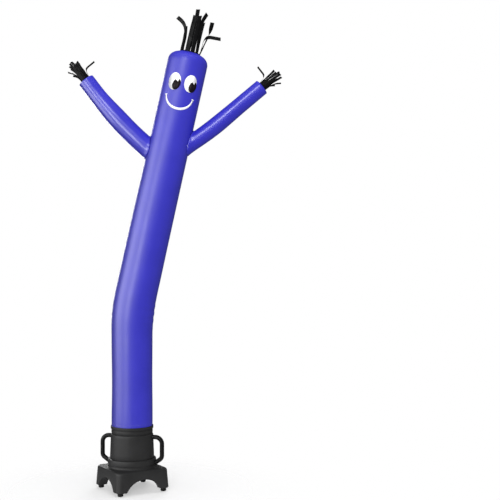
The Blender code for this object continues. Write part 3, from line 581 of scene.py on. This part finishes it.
def sewn_tube(sides, rings, place, uv_radius):
    """A skin of cloth drawn up ring by ring. place gives a point and how far along it is."""
    bm = bmesh.new()
    turn = bm.verts.layers.float.new("turn")
    along = bm.verts.layers.float.new("along")
    bmesh.ops.create_circle(bm, segments=sides, radius=1.0)
    ring, edges = bm.verts[:], bm.edges[:]
    for vert in ring:
        vert[turn] = atan2(vert.co.y, vert.co.x) % (2 * pi)
    for k in range(rings):
        if k:
            ring, edges = drawn_on(bm, edges)
        for vert in ring:
            vert.co, vert[along] = place(vert[turn], k)
    bmesh.ops.recalc_face_normals(bm, faces=bm.faces)
    laid_flat = bm.loops.layers.uv.new("cloth")
    for face in bm.faces:
        wraps = max(v[turn] for v in face.verts) - min(v[turn] for v in face.verts) > pi
        for loop in face.loops:
            round_by = loop.vert[turn] + (2 * pi if wraps and loop.vert[turn] < pi else 0)
            loop[laid_flat].uv = (round_by * uv_radius, loop.vert[along])
    return bm


def puff(bm, amount):
    """Moves a skin of cloth outwards by an amount that depends on its turn and its distance along."""
    turn = bm.verts.layers.float["turn"]
    along = bm.verts.layers.float["along"]
    bm.normal_update()
    moves = [(vert, vert.normal * amount(vert[turn], vert[along])) for vert in bm.verts]
    for vert, move in moves:
        vert.co += move


# The nylon's weave, from the UV map in metres: over and under threads, and a heavier thread at each rib of
# the ripstop grid.
weave, into, out = effect("nylon weave", [("Cloth", "Vector"), ("Thread", "Float"), ("Rib Every", "Float")],
                          [("Height", "Float"), ("Rib", "Float")])
rib_from, rib_full = 0.44, 0.49
flat = add(weave, "SeparateXYZ", (), [(0, into["Cloth"])]).outputs
waves, ribs = [], []
for way in ("X", "Y"):
    threads = maths(weave, "DIVIDE", flat[way], into["Thread"])
    waves.append(maths(weave, "SINE", maths(weave, "MULTIPLY", threads, pi)))
    rib_part = maths(weave, "FRACT", maths(weave, "DIVIDE", flat[way], into["Rib Every"]))
    off_middle = maths(weave, "ABSOLUTE", maths(weave, "SUBTRACT", rib_part, 0.5))
    ribs.append(mapped(weave, off_middle, 0.0, 1.0, rib_from, rib_full))
warp, weft = [maths(weave, "ABSOLUTE", wave) for wave in waves]
over = maths(weave, "GREATER_THAN", maths(weave, "MULTIPLY", *waves), 0.0)
height = add(weave, "Mix", (), [("Factor", over), ("A", warp), ("B", weft)])
weave.links.new(height.outputs[0], out["Height"])
weave.links.new(maths(weave, "MAXIMUM", *ribs), out["Rib"])

# A row of stitches: a groove pressed into the cloth, with a thread that shows in it at every stitch.
stitches, into, out = effect("stitch row", [("Across", "Float"), ("Along", "Float"), ("Stitch", "Float")],
                             [("Height", "Float"), ("Thread", "Float")])
groove_half, groove_deep = 0.0032, 0.0003
thread_core, thread_half, thread_high = 0.0004, 0.0007, 0.0004
stitch_shown = 0.68
off_row = maths(stitches, "ABSOLUTE", into["Across"])
groove = mapped(stitches, off_row, -groove_deep, 0.0, 0.0, groove_half, "SMOOTHSTEP")
on_thread = mapped(stitches, off_row, 1.0, 0.0, thread_core, thread_half)
in_stitch = maths(stitches, "FRACT", maths(stitches, "DIVIDE", into["Along"], into["Stitch"]))
thread = maths(stitches, "MULTIPLY", on_thread, maths(stitches, "LESS_THAN", in_stitch, stitch_shown))
raised = maths(stitches, "MULTIPLY", thread, thread_high)
stitches.links.new(maths(stitches, "ADD", groove, raised), out["Height"])
stitches.links.new(thread, out["Thread"])


def toned(tree, mask, under, tone):
    """A colour laid over another where the mask is 1."""
    mix = tree.nodes.new("ShaderNodeMix")
    mix.data_type = "RGBA"
    tree.links.new(mask, mix.inputs[0])
    tree.links.new(under, mix.inputs[6])
    mix.inputs[7].default_value = (*tone, 1)
    return mix.outputs[2]


thread_relief, rib_relief = 0.000004, 0.000008
rib_threads = 9
stitch_long = 0.0042


def nylon(name, dark, light, thread_tone, smoothest, roughest, rows, shine=0.9, crinkle=0.00016,
          crinkle_size=0.055, thread=0.0007):
    """Coated nylon with its weave, soft crinkles and rows of stitches. Each row is a line of the UV map."""
    material, tree, sockets = new_finish(name, roughest, shine=shine)
    cloth = add(tree, "UVMap", uv_map="cloth").outputs["UV"]
    flat = add(tree, "SeparateXYZ", (), [(0, cloth)]).outputs
    where = add(tree, "TexCoord").outputs["Object"]
    woven = use(tree, weave, [("Thread", thread), ("Rib Every", thread * rib_threads)],
                [("Cloth", cloth)]).outputs
    slack = cloudy(tree, where, Scale=1 / crinkle_size, Detail=2.5, Roughness=0.45, Distortion=0.6)
    colour = two_tones(tree, cloudy(tree, where, Scale=7.0, Detail=3.0), dark, light, 0.3, 0.7)
    relief = maths(tree, "MULTIPLY", woven["Height"], thread_relief)
    relief = maths(tree, "MULTIPLY_ADD", woven["Rib"], rib_relief, relief)
    relief = maths(tree, "MULTIPLY_ADD", slack, crinkle, relief)
    for axis, line in rows:
        row = use(tree, stitches, [("Stitch", stitch_long)],
                  [("Across", maths(tree, "SUBTRACT", flat[axis], line)),
                   ("Along", flat["Y" if axis == "X" else "X"])]).outputs
        relief = maths(tree, "ADD", relief, row["Height"])
        colour = toned(tree, row["Thread"], colour, thread_tone)
    surfaced(tree, sockets, colour, mapped(tree, slack, smoothest, roughest), relief)
    return material


body_seam = pi * head_radius
blues = (0.021, 0.020, 0.430), (0.026, 0.024, 0.470), (0.040, 0.037, 0.500)
blue_nylon = nylon("blue nylon", *blues, 0.40, 0.48,
                   (("Y", 0.0310), ("Y", 0.0370), ("X", body_seam - 0.0035), ("X", body_seam + 0.0035)))
hem = blower_axis + Vector((0, 0, hem_height))
body_line = BentLine(hem, 0.0, lean, knee_height - hem_height, knee_reach)
to_knee = knee_height - hem_height - body_line.shortening
head_at = to_knee + head_up
body_steps = 190
dome_steps = 16
dome_last = acos((vent_radius / head_radius) ** (dome_squareness / 2))


def body_place(turn, ring):
    """The body's skin: plain up to the head, then over the dome to the edge of the vent."""
    angle = max(0, ring - body_steps) / dome_steps * dome_last
    along = min(ring, body_steps) / body_steps * head_at
    centre, axis, side = body_line.at(along)
    radius = girth_at(centre.z)
    if angle:
        radius *= cos(angle) ** (2 / dome_squareness)
        centre = centre + axis * dome_height * sin(angle) ** (2 / dome_squareness)
        along += dome_height * angle
    return centre + outwards(side, turn) * radius, along


def body_give(turn, along):
    """How far the cloth stands proud: gathers over the ring, slack at the inside of the knee, soft swells."""
    inside_knee = max(0.0, cos(turn - pi / 2)) ** 1.5 * exp(-((along - to_knee) / fold_reach) ** 2)
    folds = fold_high * inside_knee * cos(2 * pi * (along - to_knee) / fold_long + 0.6 * sin(2 * turn))
    gathers = gather_high * exp(-along / gather_reach) * sin(gathers_round * turn)
    gathers *= eased(along, 0.018, 0.045)
    swell = swell_high * noise.noise(Vector((1.4 * cos(turn), 1.4 * sin(turn), 2.2 * along)))
    swell *= eased(along, 0.03, 0.20) * (1 - eased(along, head_at - 0.42, head_at - 0.34))
    return folds + gathers + swell


skin = sewn_tube(body_sides, body_steps + dome_steps + 1, body_place, head_radius)
puff(skin, body_give)
body = finished("body_cloth", skin, blue_nylon, ["body_tube"], nylon_thickness)


# Arms: a narrower tube of the same nylon each, sewn to the body round an armhole with its edge turned out
# flat, and drawn in at the end round the streamers.

Arm = namedtuple("Arm", "side shoulder rise turn upper lower reach root cuff")
arms = {"left": Arm(-1, 0.965, radians(41.0), radians(11.5), 0.397, 0.332, 0.25, 0.0630, 0.0525),
        "right": Arm(1, 0.986, radians(33.6), radians(6.4), 0.328, 0.436, 0.10, 0.0535, 0.0505)}
arm_taper = (0.38, 0.64)
arm_sides = 56
cuff_height = 0.009
cuff_hole = 0.031
off_body = 0.0016
flare = 0.0045
root_rings, long_rings, cuff_rings = 12, 64, 6
tuck_high, tuck_at, tuck_reach, tucks_round = 0.0007, 0.03, 0.022, 11
arm_swell = 0.0010

arm_nylon = nylon("blue nylon of the arms", *blues, 0.31, 0.35,
                  (("Y", 0.0045), ("X", pi * arms["left"].cuff)), crinkle=0.00010)
arm_cloths, arm_ends = {}, {}
for name, arm in arms.items():
    shoulder, body_way, _ = body_line.at(to_knee + arm.shoulder)
    body_skin = girth_at(shoulder.z) + off_body
    line = BentLine(shoulder, arm.side * (pi / 2 - arm.rise), -arm.side * arm.turn, arm.upper, arm.reach)
    long = arm.upper + arm.lower - line.shortening
    cuff_last = acos(cuff_hole / arm.cuff)

    def skin_point(turn, distance, radius):
        centre, _, side = line.at(distance)
        return centre + outwards(side, turn) * radius

    def root_at(turn, radius):
        """How far along the arm its skin meets the body's."""
        inside, outside = 0.05, 0.45
        for _ in range(20):
            middle = (inside + outside) / 2
            off = skin_point(turn, middle, radius) - shoulder
            off -= body_way * off.dot(body_way)
            if off.length < body_skin:
                inside = middle
            else:
                outside = middle
        return middle

    roots = [root_at(2 * pi * i / arm_sides, arm.root) for i in range(arm_sides)]
    clear = max(roots) + 0.02

    def arm_place(turn, ring):
        """The arm's skin: from its seam to where it is clear of the body, to the cuff, and over its end."""
        root = root_at(turn, arm.root)
        if ring <= root_rings:
            share = ring / root_rings
            wide = arm.root + flare * (1 - min(1, share * 2)) ** 3
            seam = root_at(turn, wide)
            distance = seam + (clear - seam) * share
            return skin_point(turn, distance, wide), distance - root
        share = min(1, (ring - root_rings) / long_rings)
        distance = clear + (long - clear) * share
        angle = max(0, ring - root_rings - long_rings) / cuff_rings * cuff_last
        wide = (arm.root + (arm.cuff - arm.root) * eased(distance, *arm_taper)) * cos(angle)
        over = line.at(distance)[1] * cuff_height * sin(angle)
        return skin_point(turn, distance, wide) + over, distance - root + arm.cuff * angle

    def arm_give(turn, along):
        """Small tucks where the arm is sewn on, and a little slack along it."""
        tucks = tuck_high * exp(-((along - tuck_at) / tuck_reach) ** 2) * sin(tucks_round * turn + arm.side)
        swell = arm_swell * noise.noise(Vector((1.2 * cos(turn), 1.2 * sin(turn) + 3 * arm.side, 5 * along)))
        return tucks + swell * eased(along, 0.03, 0.09) * (1 - eased(along, long - 0.22, long - 0.16))

    skin = sewn_tube(arm_sides, root_rings + long_rings + cuff_rings + 1, arm_place, arm.cuff)
    puff(skin, arm_give)
    arm_cloths[name] = finished(f"arm_cloth_{name}", skin, arm_nylon, [f"arm_{name}"],
                                nylon_thickness)
    arm_ends[name] = line.at(long)


# Streamers: strips slit from a band of thin shiny black nylon, its foot sewn inside the vent in the head, and
# smaller ones inside the hole in each cuff. The air keeps them up, and some have bent over or twisted.

# Each row: place round the band, width, length, lean at the root and at the tip, the side it leans to, the
# shares of its length where it bends, and the side that its flat faces at the tip.
hair = ((-60, 0.025, 0.230, 0, 62, 270, 0.50, 1.00, -18), (-12, 0.030, 0.228, 0, 2, 90, 0.30, 1.00, -14),
        (19, 0.028, 0.233, -2, 0, 90, 0.30, 1.00, 12), (47, 0.024, 0.262, -4, 22, 90, 0.62, 1.00, 24),
        (87, 0.022, 0.212, 3, 88, 90, 0.42, 0.80, 22), (114, 0.026, 0.230, 13, 2, 90, 0.50, 0.95, 8),
        (144, 0.025, 0.218, -1, 2, 90, 0.30, 1.00, 150), (172, 0.026, 0.236, 0, 3, 90, 0.30, 1.00, 176),
        (200, 0.026, 0.297, 3, -3, 90, 0.55, 1.00, 192), (237, 0.024, 0.172, 0, 12, 270, 0.40, 1.00, 215))
fringe = ((-90, 0.012, 0.110, 3, 38, 270, 0.30, 1.00, -50), (-62, 0.013, 0.068, 2, 40, 270, 0.20, 1.00, -40),
          (-33, 0.015, 0.106, 4, 20, 270, 0.50, 1.00, -20), (-4, 0.015, 0.134, 5, 9, 270, 0.30, 1.00, 0),
          (25, 0.015, 0.138, 3, 10, 270, 0.20, 1.00, 14), (54, 0.015, 0.120, 1, 4, 90, 0.30, 1.00, 24),
          (85, 0.011, 0.122, 12, 88, 90, 0.28, 0.66, 18), (119, 0.015, 0.110, 1, 4, 90, 0.40, 1.00, 130),
          (150, 0.015, 0.126, 0, 2, 90, 0.30, 1.00, 160), (181, 0.015, 0.120, 4, 2, 270, 0.30, 1.00, 186),
          (212, 0.015, 0.134, 4, 10, 270, 0.40, 1.00, 200), (243, 0.012, 0.090, 4, 24, 270, 0.30, 1.00, 225))
band_high, band_low = 0.006, 0.005
strip_steps = 36
strip_cells = 4
strip_thickness = 0.0006
strip_bow, strip_flutter, strip_slant = 0.07, 0.0022, 0.35
flutter_scale = 28
bend_steps = 7

black_nylon = nylon("black nylon", (0.0030, 0.0030, 0.0033), (0.0070, 0.0070, 0.0074), (0.008, 0.008, 0.008),
                    0.28, 0.40, (), shine=0.09, crinkle=0.0006, crinkle_size=0.040, thread=0.0005)


def strip_line(row, root, axis, right):
    """The middle line of a strip, and the way its flat faces, at each step."""
    place, _, length, lean_root, lean_tip, leans_to, bend_from, bend_to, faces = row
    point, points = root.copy(), []
    for i in range(strip_steps + 1):
        share = i / strip_steps
        if i:
            point = point + along * length / strip_steps
        stepped = min(1.0, (share * bend_steps + 0.5) / bend_steps)
        bent = eased(stepped, bend_from, bend_to)
        angle = radians(lean_root + (lean_tip - lean_root) * bent)
        along = axis * cos(angle) + outwards(right, radians(leans_to)) * sin(angle)
        flat = outwards(right, radians(place + (faces - place) * eased(share, bend_from, bend_to)))
        flat = (flat - along * flat.dot(along)).normalized()
        points.append((point, flat, flat.cross(along)))
    return points


def streamers(name, rows, centre, axis, right, radius, node, seed):
    """The band round the hole, and its strips drawn out of it step by step."""
    bm = bmesh.new()
    round_by = bm.verts.layers.float.new("turn")
    along = bm.verts.layers.float.new("along")
    to_ring = Matrix((front, right, axis)).transposed()
    bmesh.ops.create_circle(bm, segments=72, radius=radius - strip_thickness)
    for vert in bm.verts:
        vert[round_by] = atan2(vert.co.y, vert.co.x) * radius
        vert[along] = -band_low
        vert.co = centre + to_ring @ Vector((vert.co.x, vert.co.y, -band_low))
    for vert in drawn_on(bm, bm.edges[:])[0]:
        vert.co += axis * (band_low + band_high)
        vert[along] = band_high
    for number, row in enumerate(rows):
        place, width, length = row[:3]
        home = radians(place) * radius
        out = outwards(right, radians(place))
        root = centre + out * (radius - strip_thickness * 1.8) + axis * band_high * 0.3
        row_of = [bm.verts.new() for _ in range(strip_cells + 1)]
        edges = [bm.edges.new(pair) for pair in zip(row_of, row_of[1:])]
        for cell, vert in enumerate(row_of):
            vert[round_by] = home + (cell / strip_cells - 0.5) * width
        for i, (point, flat, across) in enumerate(strip_line(row, root, axis, right)):
            if i:
                row_of, edges = drawn_on(bm, edges)
            share = i / strip_steps
            for vert in row_of:
                cell = (vert[round_by] - home) / width
                wave = noise.noise(Vector((number * 3.7 + seed, cell * 1.5, share * length * flutter_scale)))
                lift = width * strip_bow * (0.25 - cell * cell) * min(1, share * 6)
                lift += wave * strip_flutter * eased(share, 0.03, 0.4)
                slant = cell * width * strip_slant * sin(number * 2.4 + seed) * eased(share, 0.97, 1.0)
                vert.co = point + across * cell * width + flat * lift - flat.cross(across) * slant
                vert[along] = share * length
    laid_flat = bm.loops.layers.uv.new("cloth")
    for face in bm.faces:
        for loop in face.loops:
            loop[laid_flat].uv = (loop.vert[round_by], loop.vert[along])
    obj = finished(name, bm, black_nylon, [node], strip_thickness, 0.0, crease=60)


centre, axis, side = body_line.at(head_at)
vent_rim = dome_height * (1 - (vent_radius / head_radius) ** dome_squareness) ** (1 / dome_squareness)
streamers("hair_cloth", hair, centre + axis * vent_rim, axis, side, vent_radius - 0.0010, "hair",
          0.3)
for name, (centre, axis, side) in arm_ends.items():
    cuff_rim = cuff_height * sqrt(1 - (cuff_hole / arms[name].cuff) ** 2)
    streamers(f"fringe_cloth_{name}", fringe, centre + axis * cuff_rim, axis, side * -arms[name].side,
              cuff_hole - 0.0010, f"fringe_{name}", 5.1 if name == "left" else 9.4)


# Face: two white ovals with a dark pupil on each and a smile, cut from plain cloth and sewn on flat. The
# margin is pressed down by its stitches, so that the middle of each patch stands a little proud.

patch_thickness = 0.0009
patch_lift, patch_puff = 0.0003, 0.0005
sewn_margin = 0.0028
patch_step = 0.006
eye_side = radians(23.6)
face_turn = radians(3.8)
eye_half = (0.0415, 0.0548)
pupil_half = (0.0245, 0.0370)
pupil_lean = radians(17)
glint_middle, glint_half = radians(-21), radians(27)
glint_foot = (0.0011, -0.0175)
pupil_off = (0.0165, 0.0165)
eye_down = {"left": 0.1380, "right": 0.1335}
smile_half = 0.0915
smile_ends_down = 0.2290
smile_depth = 0.0740
smile_width = (0.0095, 0.0148)
oval_sides, edge_steps = 72, 60
cheek_long, cheek_thick = 0.0175, 0.0065
plain_thread, plain_relief, soft_relief = 0.0006, 0.00004, 0.0003
patch_stitch, stitched_in = 0.0036, 0.0015


def sewn_patch_finish(name, dark, light, smoothest, roughest, shine):
    """Plain woven cloth whose margin, where its attribute is 1 at the cut edge, has a row of stitches."""
    material, tree, sockets = new_finish(name, roughest, shine=shine)
    cloth = add(tree, "UVMap", uv_map="cloth").outputs["UV"]
    flat = add(tree, "SeparateXYZ", (), [(0, cloth)]).outputs
    where = add(tree, "TexCoord").outputs["Object"]
    woven = use(tree, weave, [("Thread", plain_thread), ("Rib Every", 1.0)], [("Cloth", cloth)]).outputs
    from_edge = maths(tree, "SUBTRACT", 1.0, add(tree, "Attribute", attribute_name="margin").outputs["Fac"])
    row = use(tree, stitches, [("Stitch", patch_stitch)],
              [("Across", maths(tree, "MULTIPLY_ADD", from_edge, sewn_margin, -stitched_in)),
               ("Along", maths(tree, "ADD", flat["X"], flat["Y"]))]).outputs
    soft = cloudy(tree, where, Scale=30.0, Detail=3.0)
    relief = maths(tree, "MULTIPLY_ADD", woven["Height"], plain_relief, row["Height"])
    relief = maths(tree, "MULTIPLY_ADD", soft, soft_relief, relief)
    surfaced(tree, sockets, two_tones(tree, soft, dark, light), mapped(tree, soft, smoothest, roughest),
             relief)
    return material


white_cloth = sewn_patch_finish("white cloth", (0.90, 0.90, 0.90), (0.95, 0.95, 0.95), 0.50, 0.66, 0.5)
pupil_cloth = sewn_patch_finish("dark cloth of the pupils", (0.006, 0.004, 0.005), (0.016, 0.010, 0.012),
                                0.38, 0.52, 0.16)


def turned_by(points, across, down, lean_by):
    """An outline turned about its middle and put at its place."""
    return [(across + x * cos(lean_by) + y * sin(lean_by), down - x * sin(lean_by) + y * cos(lean_by))
            for x, y in points]


def sewn_patch(name, outline, middle, lift, material, stands_for):
    """Cuts an outline from cloth, gives it a sewn margin and bends it round the head at its place."""
    bm = bmesh.new()
    margin = bm.verts.layers.float.new("margin")
    laid_flat = bm.loops.layers.uv.new("cloth")
    face = bm.faces.new([bm.verts.new((x, y, 0)) for x, y in outline])
    for vert in face.verts:
        vert[margin] = 1.0
    bmesh.ops.inset_region(bm, faces=[face], thickness=sewn_margin, use_even_offset=True)
    for vert in face.verts:
        vert[margin] = 0.0
    places = [vert.co.x for vert in bm.verts]
    low, high = min(places), max(places)
    cuts = int((high - low) / patch_step)
    for i in range(1, cuts + 1):
        geometry = bm.verts[:] + bm.edges[:] + bm.faces[:]
        bmesh.ops.bisect_plane(bm, geom=geometry, plane_co=(low + (high - low) * i / (cuts + 1), 0, 0),
                               plane_no=(1, 0, 0), dist=1e-6)
    for part in bm.faces:
        for loop in part.loops:
            loop[laid_flat].uv = loop.vert.co.xy
    bmesh.ops.triangulate(bm, faces=bm.faces[:])
    centre, axis, side = body_line.at(head_at)
    for vert in bm.verts:
        proud = lift + patch_thickness + patch_puff * (1 - vert[margin])
        turn = middle + vert.co.x / head_radius
        vert.co = centre - axis * vert.co.y + outwards(side, turn) * (head_radius + proud)
    facing(bm, front)
    obj = finished(name, bm, material, [stands_for], patch_thickness, -1.0)


def on_oval(half, turn):
    return half[0] * sin(turn), half[1] * cos(turn)


oval = [on_oval(eye_half, 2 * pi * i / oval_sides) for i in range(oval_sides)]
pupil = [on_oval(pupil_half, pi - glint_middle - glint_half - (2 * pi - 2 * glint_half) * i / edge_steps)
         for i in range(edge_steps + 1)]
pupil.append(glint_foot)
on_eye = patch_lift * 2 + patch_thickness + patch_puff
for eye, way in (("left", -1), ("right", 1)):
    middle = face_turn + way * eye_side
    sewn_patch(f"eye_cloth_{eye}", turned_by(oval, 0, eye_down[eye], 0), middle, patch_lift, white_cloth,
               f"eye_{eye}")
    placed = turned_by(pupil, pupil_off[0], eye_down[eye] + pupil_off[1], -pupil_lean)
    sewn_patch(f"pupil_cloth_{eye}", placed, middle, on_eye, pupil_cloth, f"pupil_{eye}")

smile_arc = (smile_half ** 2 + smile_depth ** 2) / (2 * smile_depth)
smile_middle = smile_ends_down + smile_depth - smile_arc
widest = asin(smile_half / smile_arc)
# Each step along the smile: its turn, how fat it is there, and how far it stands past the end of the arc.
steps = [(-widest, cheek_long, -cheek_thick), (-widest, cheek_long, 0)]
for i in range(edge_steps + 1):
    turn = -widest + 2 * widest * i / edge_steps
    fat = smile_width[0] + (smile_width[1] - smile_width[0]) * cos(turn / widest * pi / 2)
    steps.append((turn, fat, 0))
steps += [(widest, cheek_long, 0), (widest, cheek_long, cheek_thick)]
inner_edge, outer_edge = [], []
for edge, way in (inner_edge, -1), (outer_edge, 1):
    for turn, fat, past in steps:
        r = smile_arc + way * fat / 2
        edge.append((r * sin(turn) + past * cos(turn), smile_middle + r * cos(turn) - past * sin(turn)))
sewn_patch("smile_cloth", inner_edge + outer_edge[::-1], face_turn, patch_lift, white_cloth, "smile")


# Floor: a plain white floor that fades into the white round it. Broad soft lights in front, above and behind
# light the object evenly, and others at the left and behind show only as sheen. A weak glow comes from all
# sides.

floor_fade = (0.24, 1.2)
floor_opaque = 0.6
floor_radius = 9.0
bm = bmesh.new()
bmesh.ops.create_circle(bm, cap_ends=True, segments=128, radius=floor_radius,
                        matrix=Matrix.Translation(blower_axis - Vector((0, 0, 0.0005))))
floor = meshed("floor", bm)
floor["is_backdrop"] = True
floor_paint, tree, sockets = new_finish("floor paint", 0.9, shine=0.1)
spot = add(tree, "TexCoord").outputs["Object"]
away = add(tree, "VectorMath", [(1, blower_axis)], [(0, spot)], operation="DISTANCE").outputs["Value"]
paint = two_tones(tree, cloudy(tree, spot, Scale=3.0, Detail=2.0), (0.95, 0.95, 0.95), (0.97, 0.97, 0.97))
tree.links.new(paint, sockets["Base Color"])
tree.links.new(mapped(tree, away, floor_opaque, 0.0, *floor_fade, "SMOOTHSTEP"), sockets["Alpha"])
floor.data.materials.append(floor_paint)

world = bpy.data.worlds.new("studio")
bpy.context.scene.world = world
world.use_nodes = True
tree = world.node_tree
tree.nodes.remove(tree.nodes["Background"])
glow, mirrored, seen = [add(tree, "Background", [("Color", (1, 1, 1, 1)), ("Strength", strength)]).outputs[0]
                        for strength in (0.42, 0.12, 1.0)]
ray = add(tree, "LightPath").outputs
lit = add(tree, "MixShader", (), [("Fac", ray["Is Glossy Ray"]), (1, glow), (2, mirrored)]).outputs[0]
both = add(tree, "MixShader", (), [("Fac", ray["Is Camera Ray"]), (1, lit), (2, seen)]).outputs[0]
tree.links.new(both, tree.nodes["World Output"].inputs["Surface"])


def soft_light(name, place, at, width, height, power, mirrored):
    """A soft box, which either shows as sheen only or lights everything evenly."""
    light = bpy.data.lights.new(name, "AREA")
    light.shape = "RECTANGLE"
    light.size, light.size_y = width, height
    light.energy = power
    obj = added(name, light)
    obj.location = place
    obj.rotation_euler = (Vector(at) - Vector(place)).to_track_quat("-Z", "Y").to_euler()
    obj.visible_glossy = mirrored
    obj.visible_diffuse = not mirrored


soft_light("side", (-4.6, -1.4, 2.1), (0.0, 0, 2.0), 3.4, 4.4, 202, mirrored=True)
soft_light("low key", (-2.9, -4.95, 1.7), (0.0, 0, 1.75), 0.8, 2.8, 122, mirrored=True)
soft_light("high key", (-0.9, -4.8, 4.8), (0.2, 0, 2.2), 0.8, 0.8, 80, mirrored=True)
soft_light("front", (0.2, -6.6, 2.4), (0.0, 0, 1.4), 4.0, 3.0, 372, mirrored=False)
soft_light("top", (0.2, -0.6, 5.2), (0.0, 0, 0.5), 3.0, 3.0, 80, mirrored=False)
soft_light("back", (0.6, 5.5, 2.6), (0.0, 0, 1.4), 3.0, 3.0, 140, mirrored=False)
soft_light("back side", (-2.4, 5.2, 2.4), (0.0, 0, 1.8), 1.2, 3.4, 110, mirrored=True)

# The camera stands as the photograph's did: level, at eye height, 6.5 m in front of the dancer.
lens = bpy.data.cameras.new("camera")
lens.lens = 73.66
lens.sensor_width = 36.0
camera = added("camera", lens)
camera.location = blower_axis + Vector((0.749, -6.5, 1.518))
camera.rotation_euler = (pi / 2, 0, 0)
bpy.context.scene.camera = camera
bpy.context.scene.view_settings.view_transform = "Standard"

low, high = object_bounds()
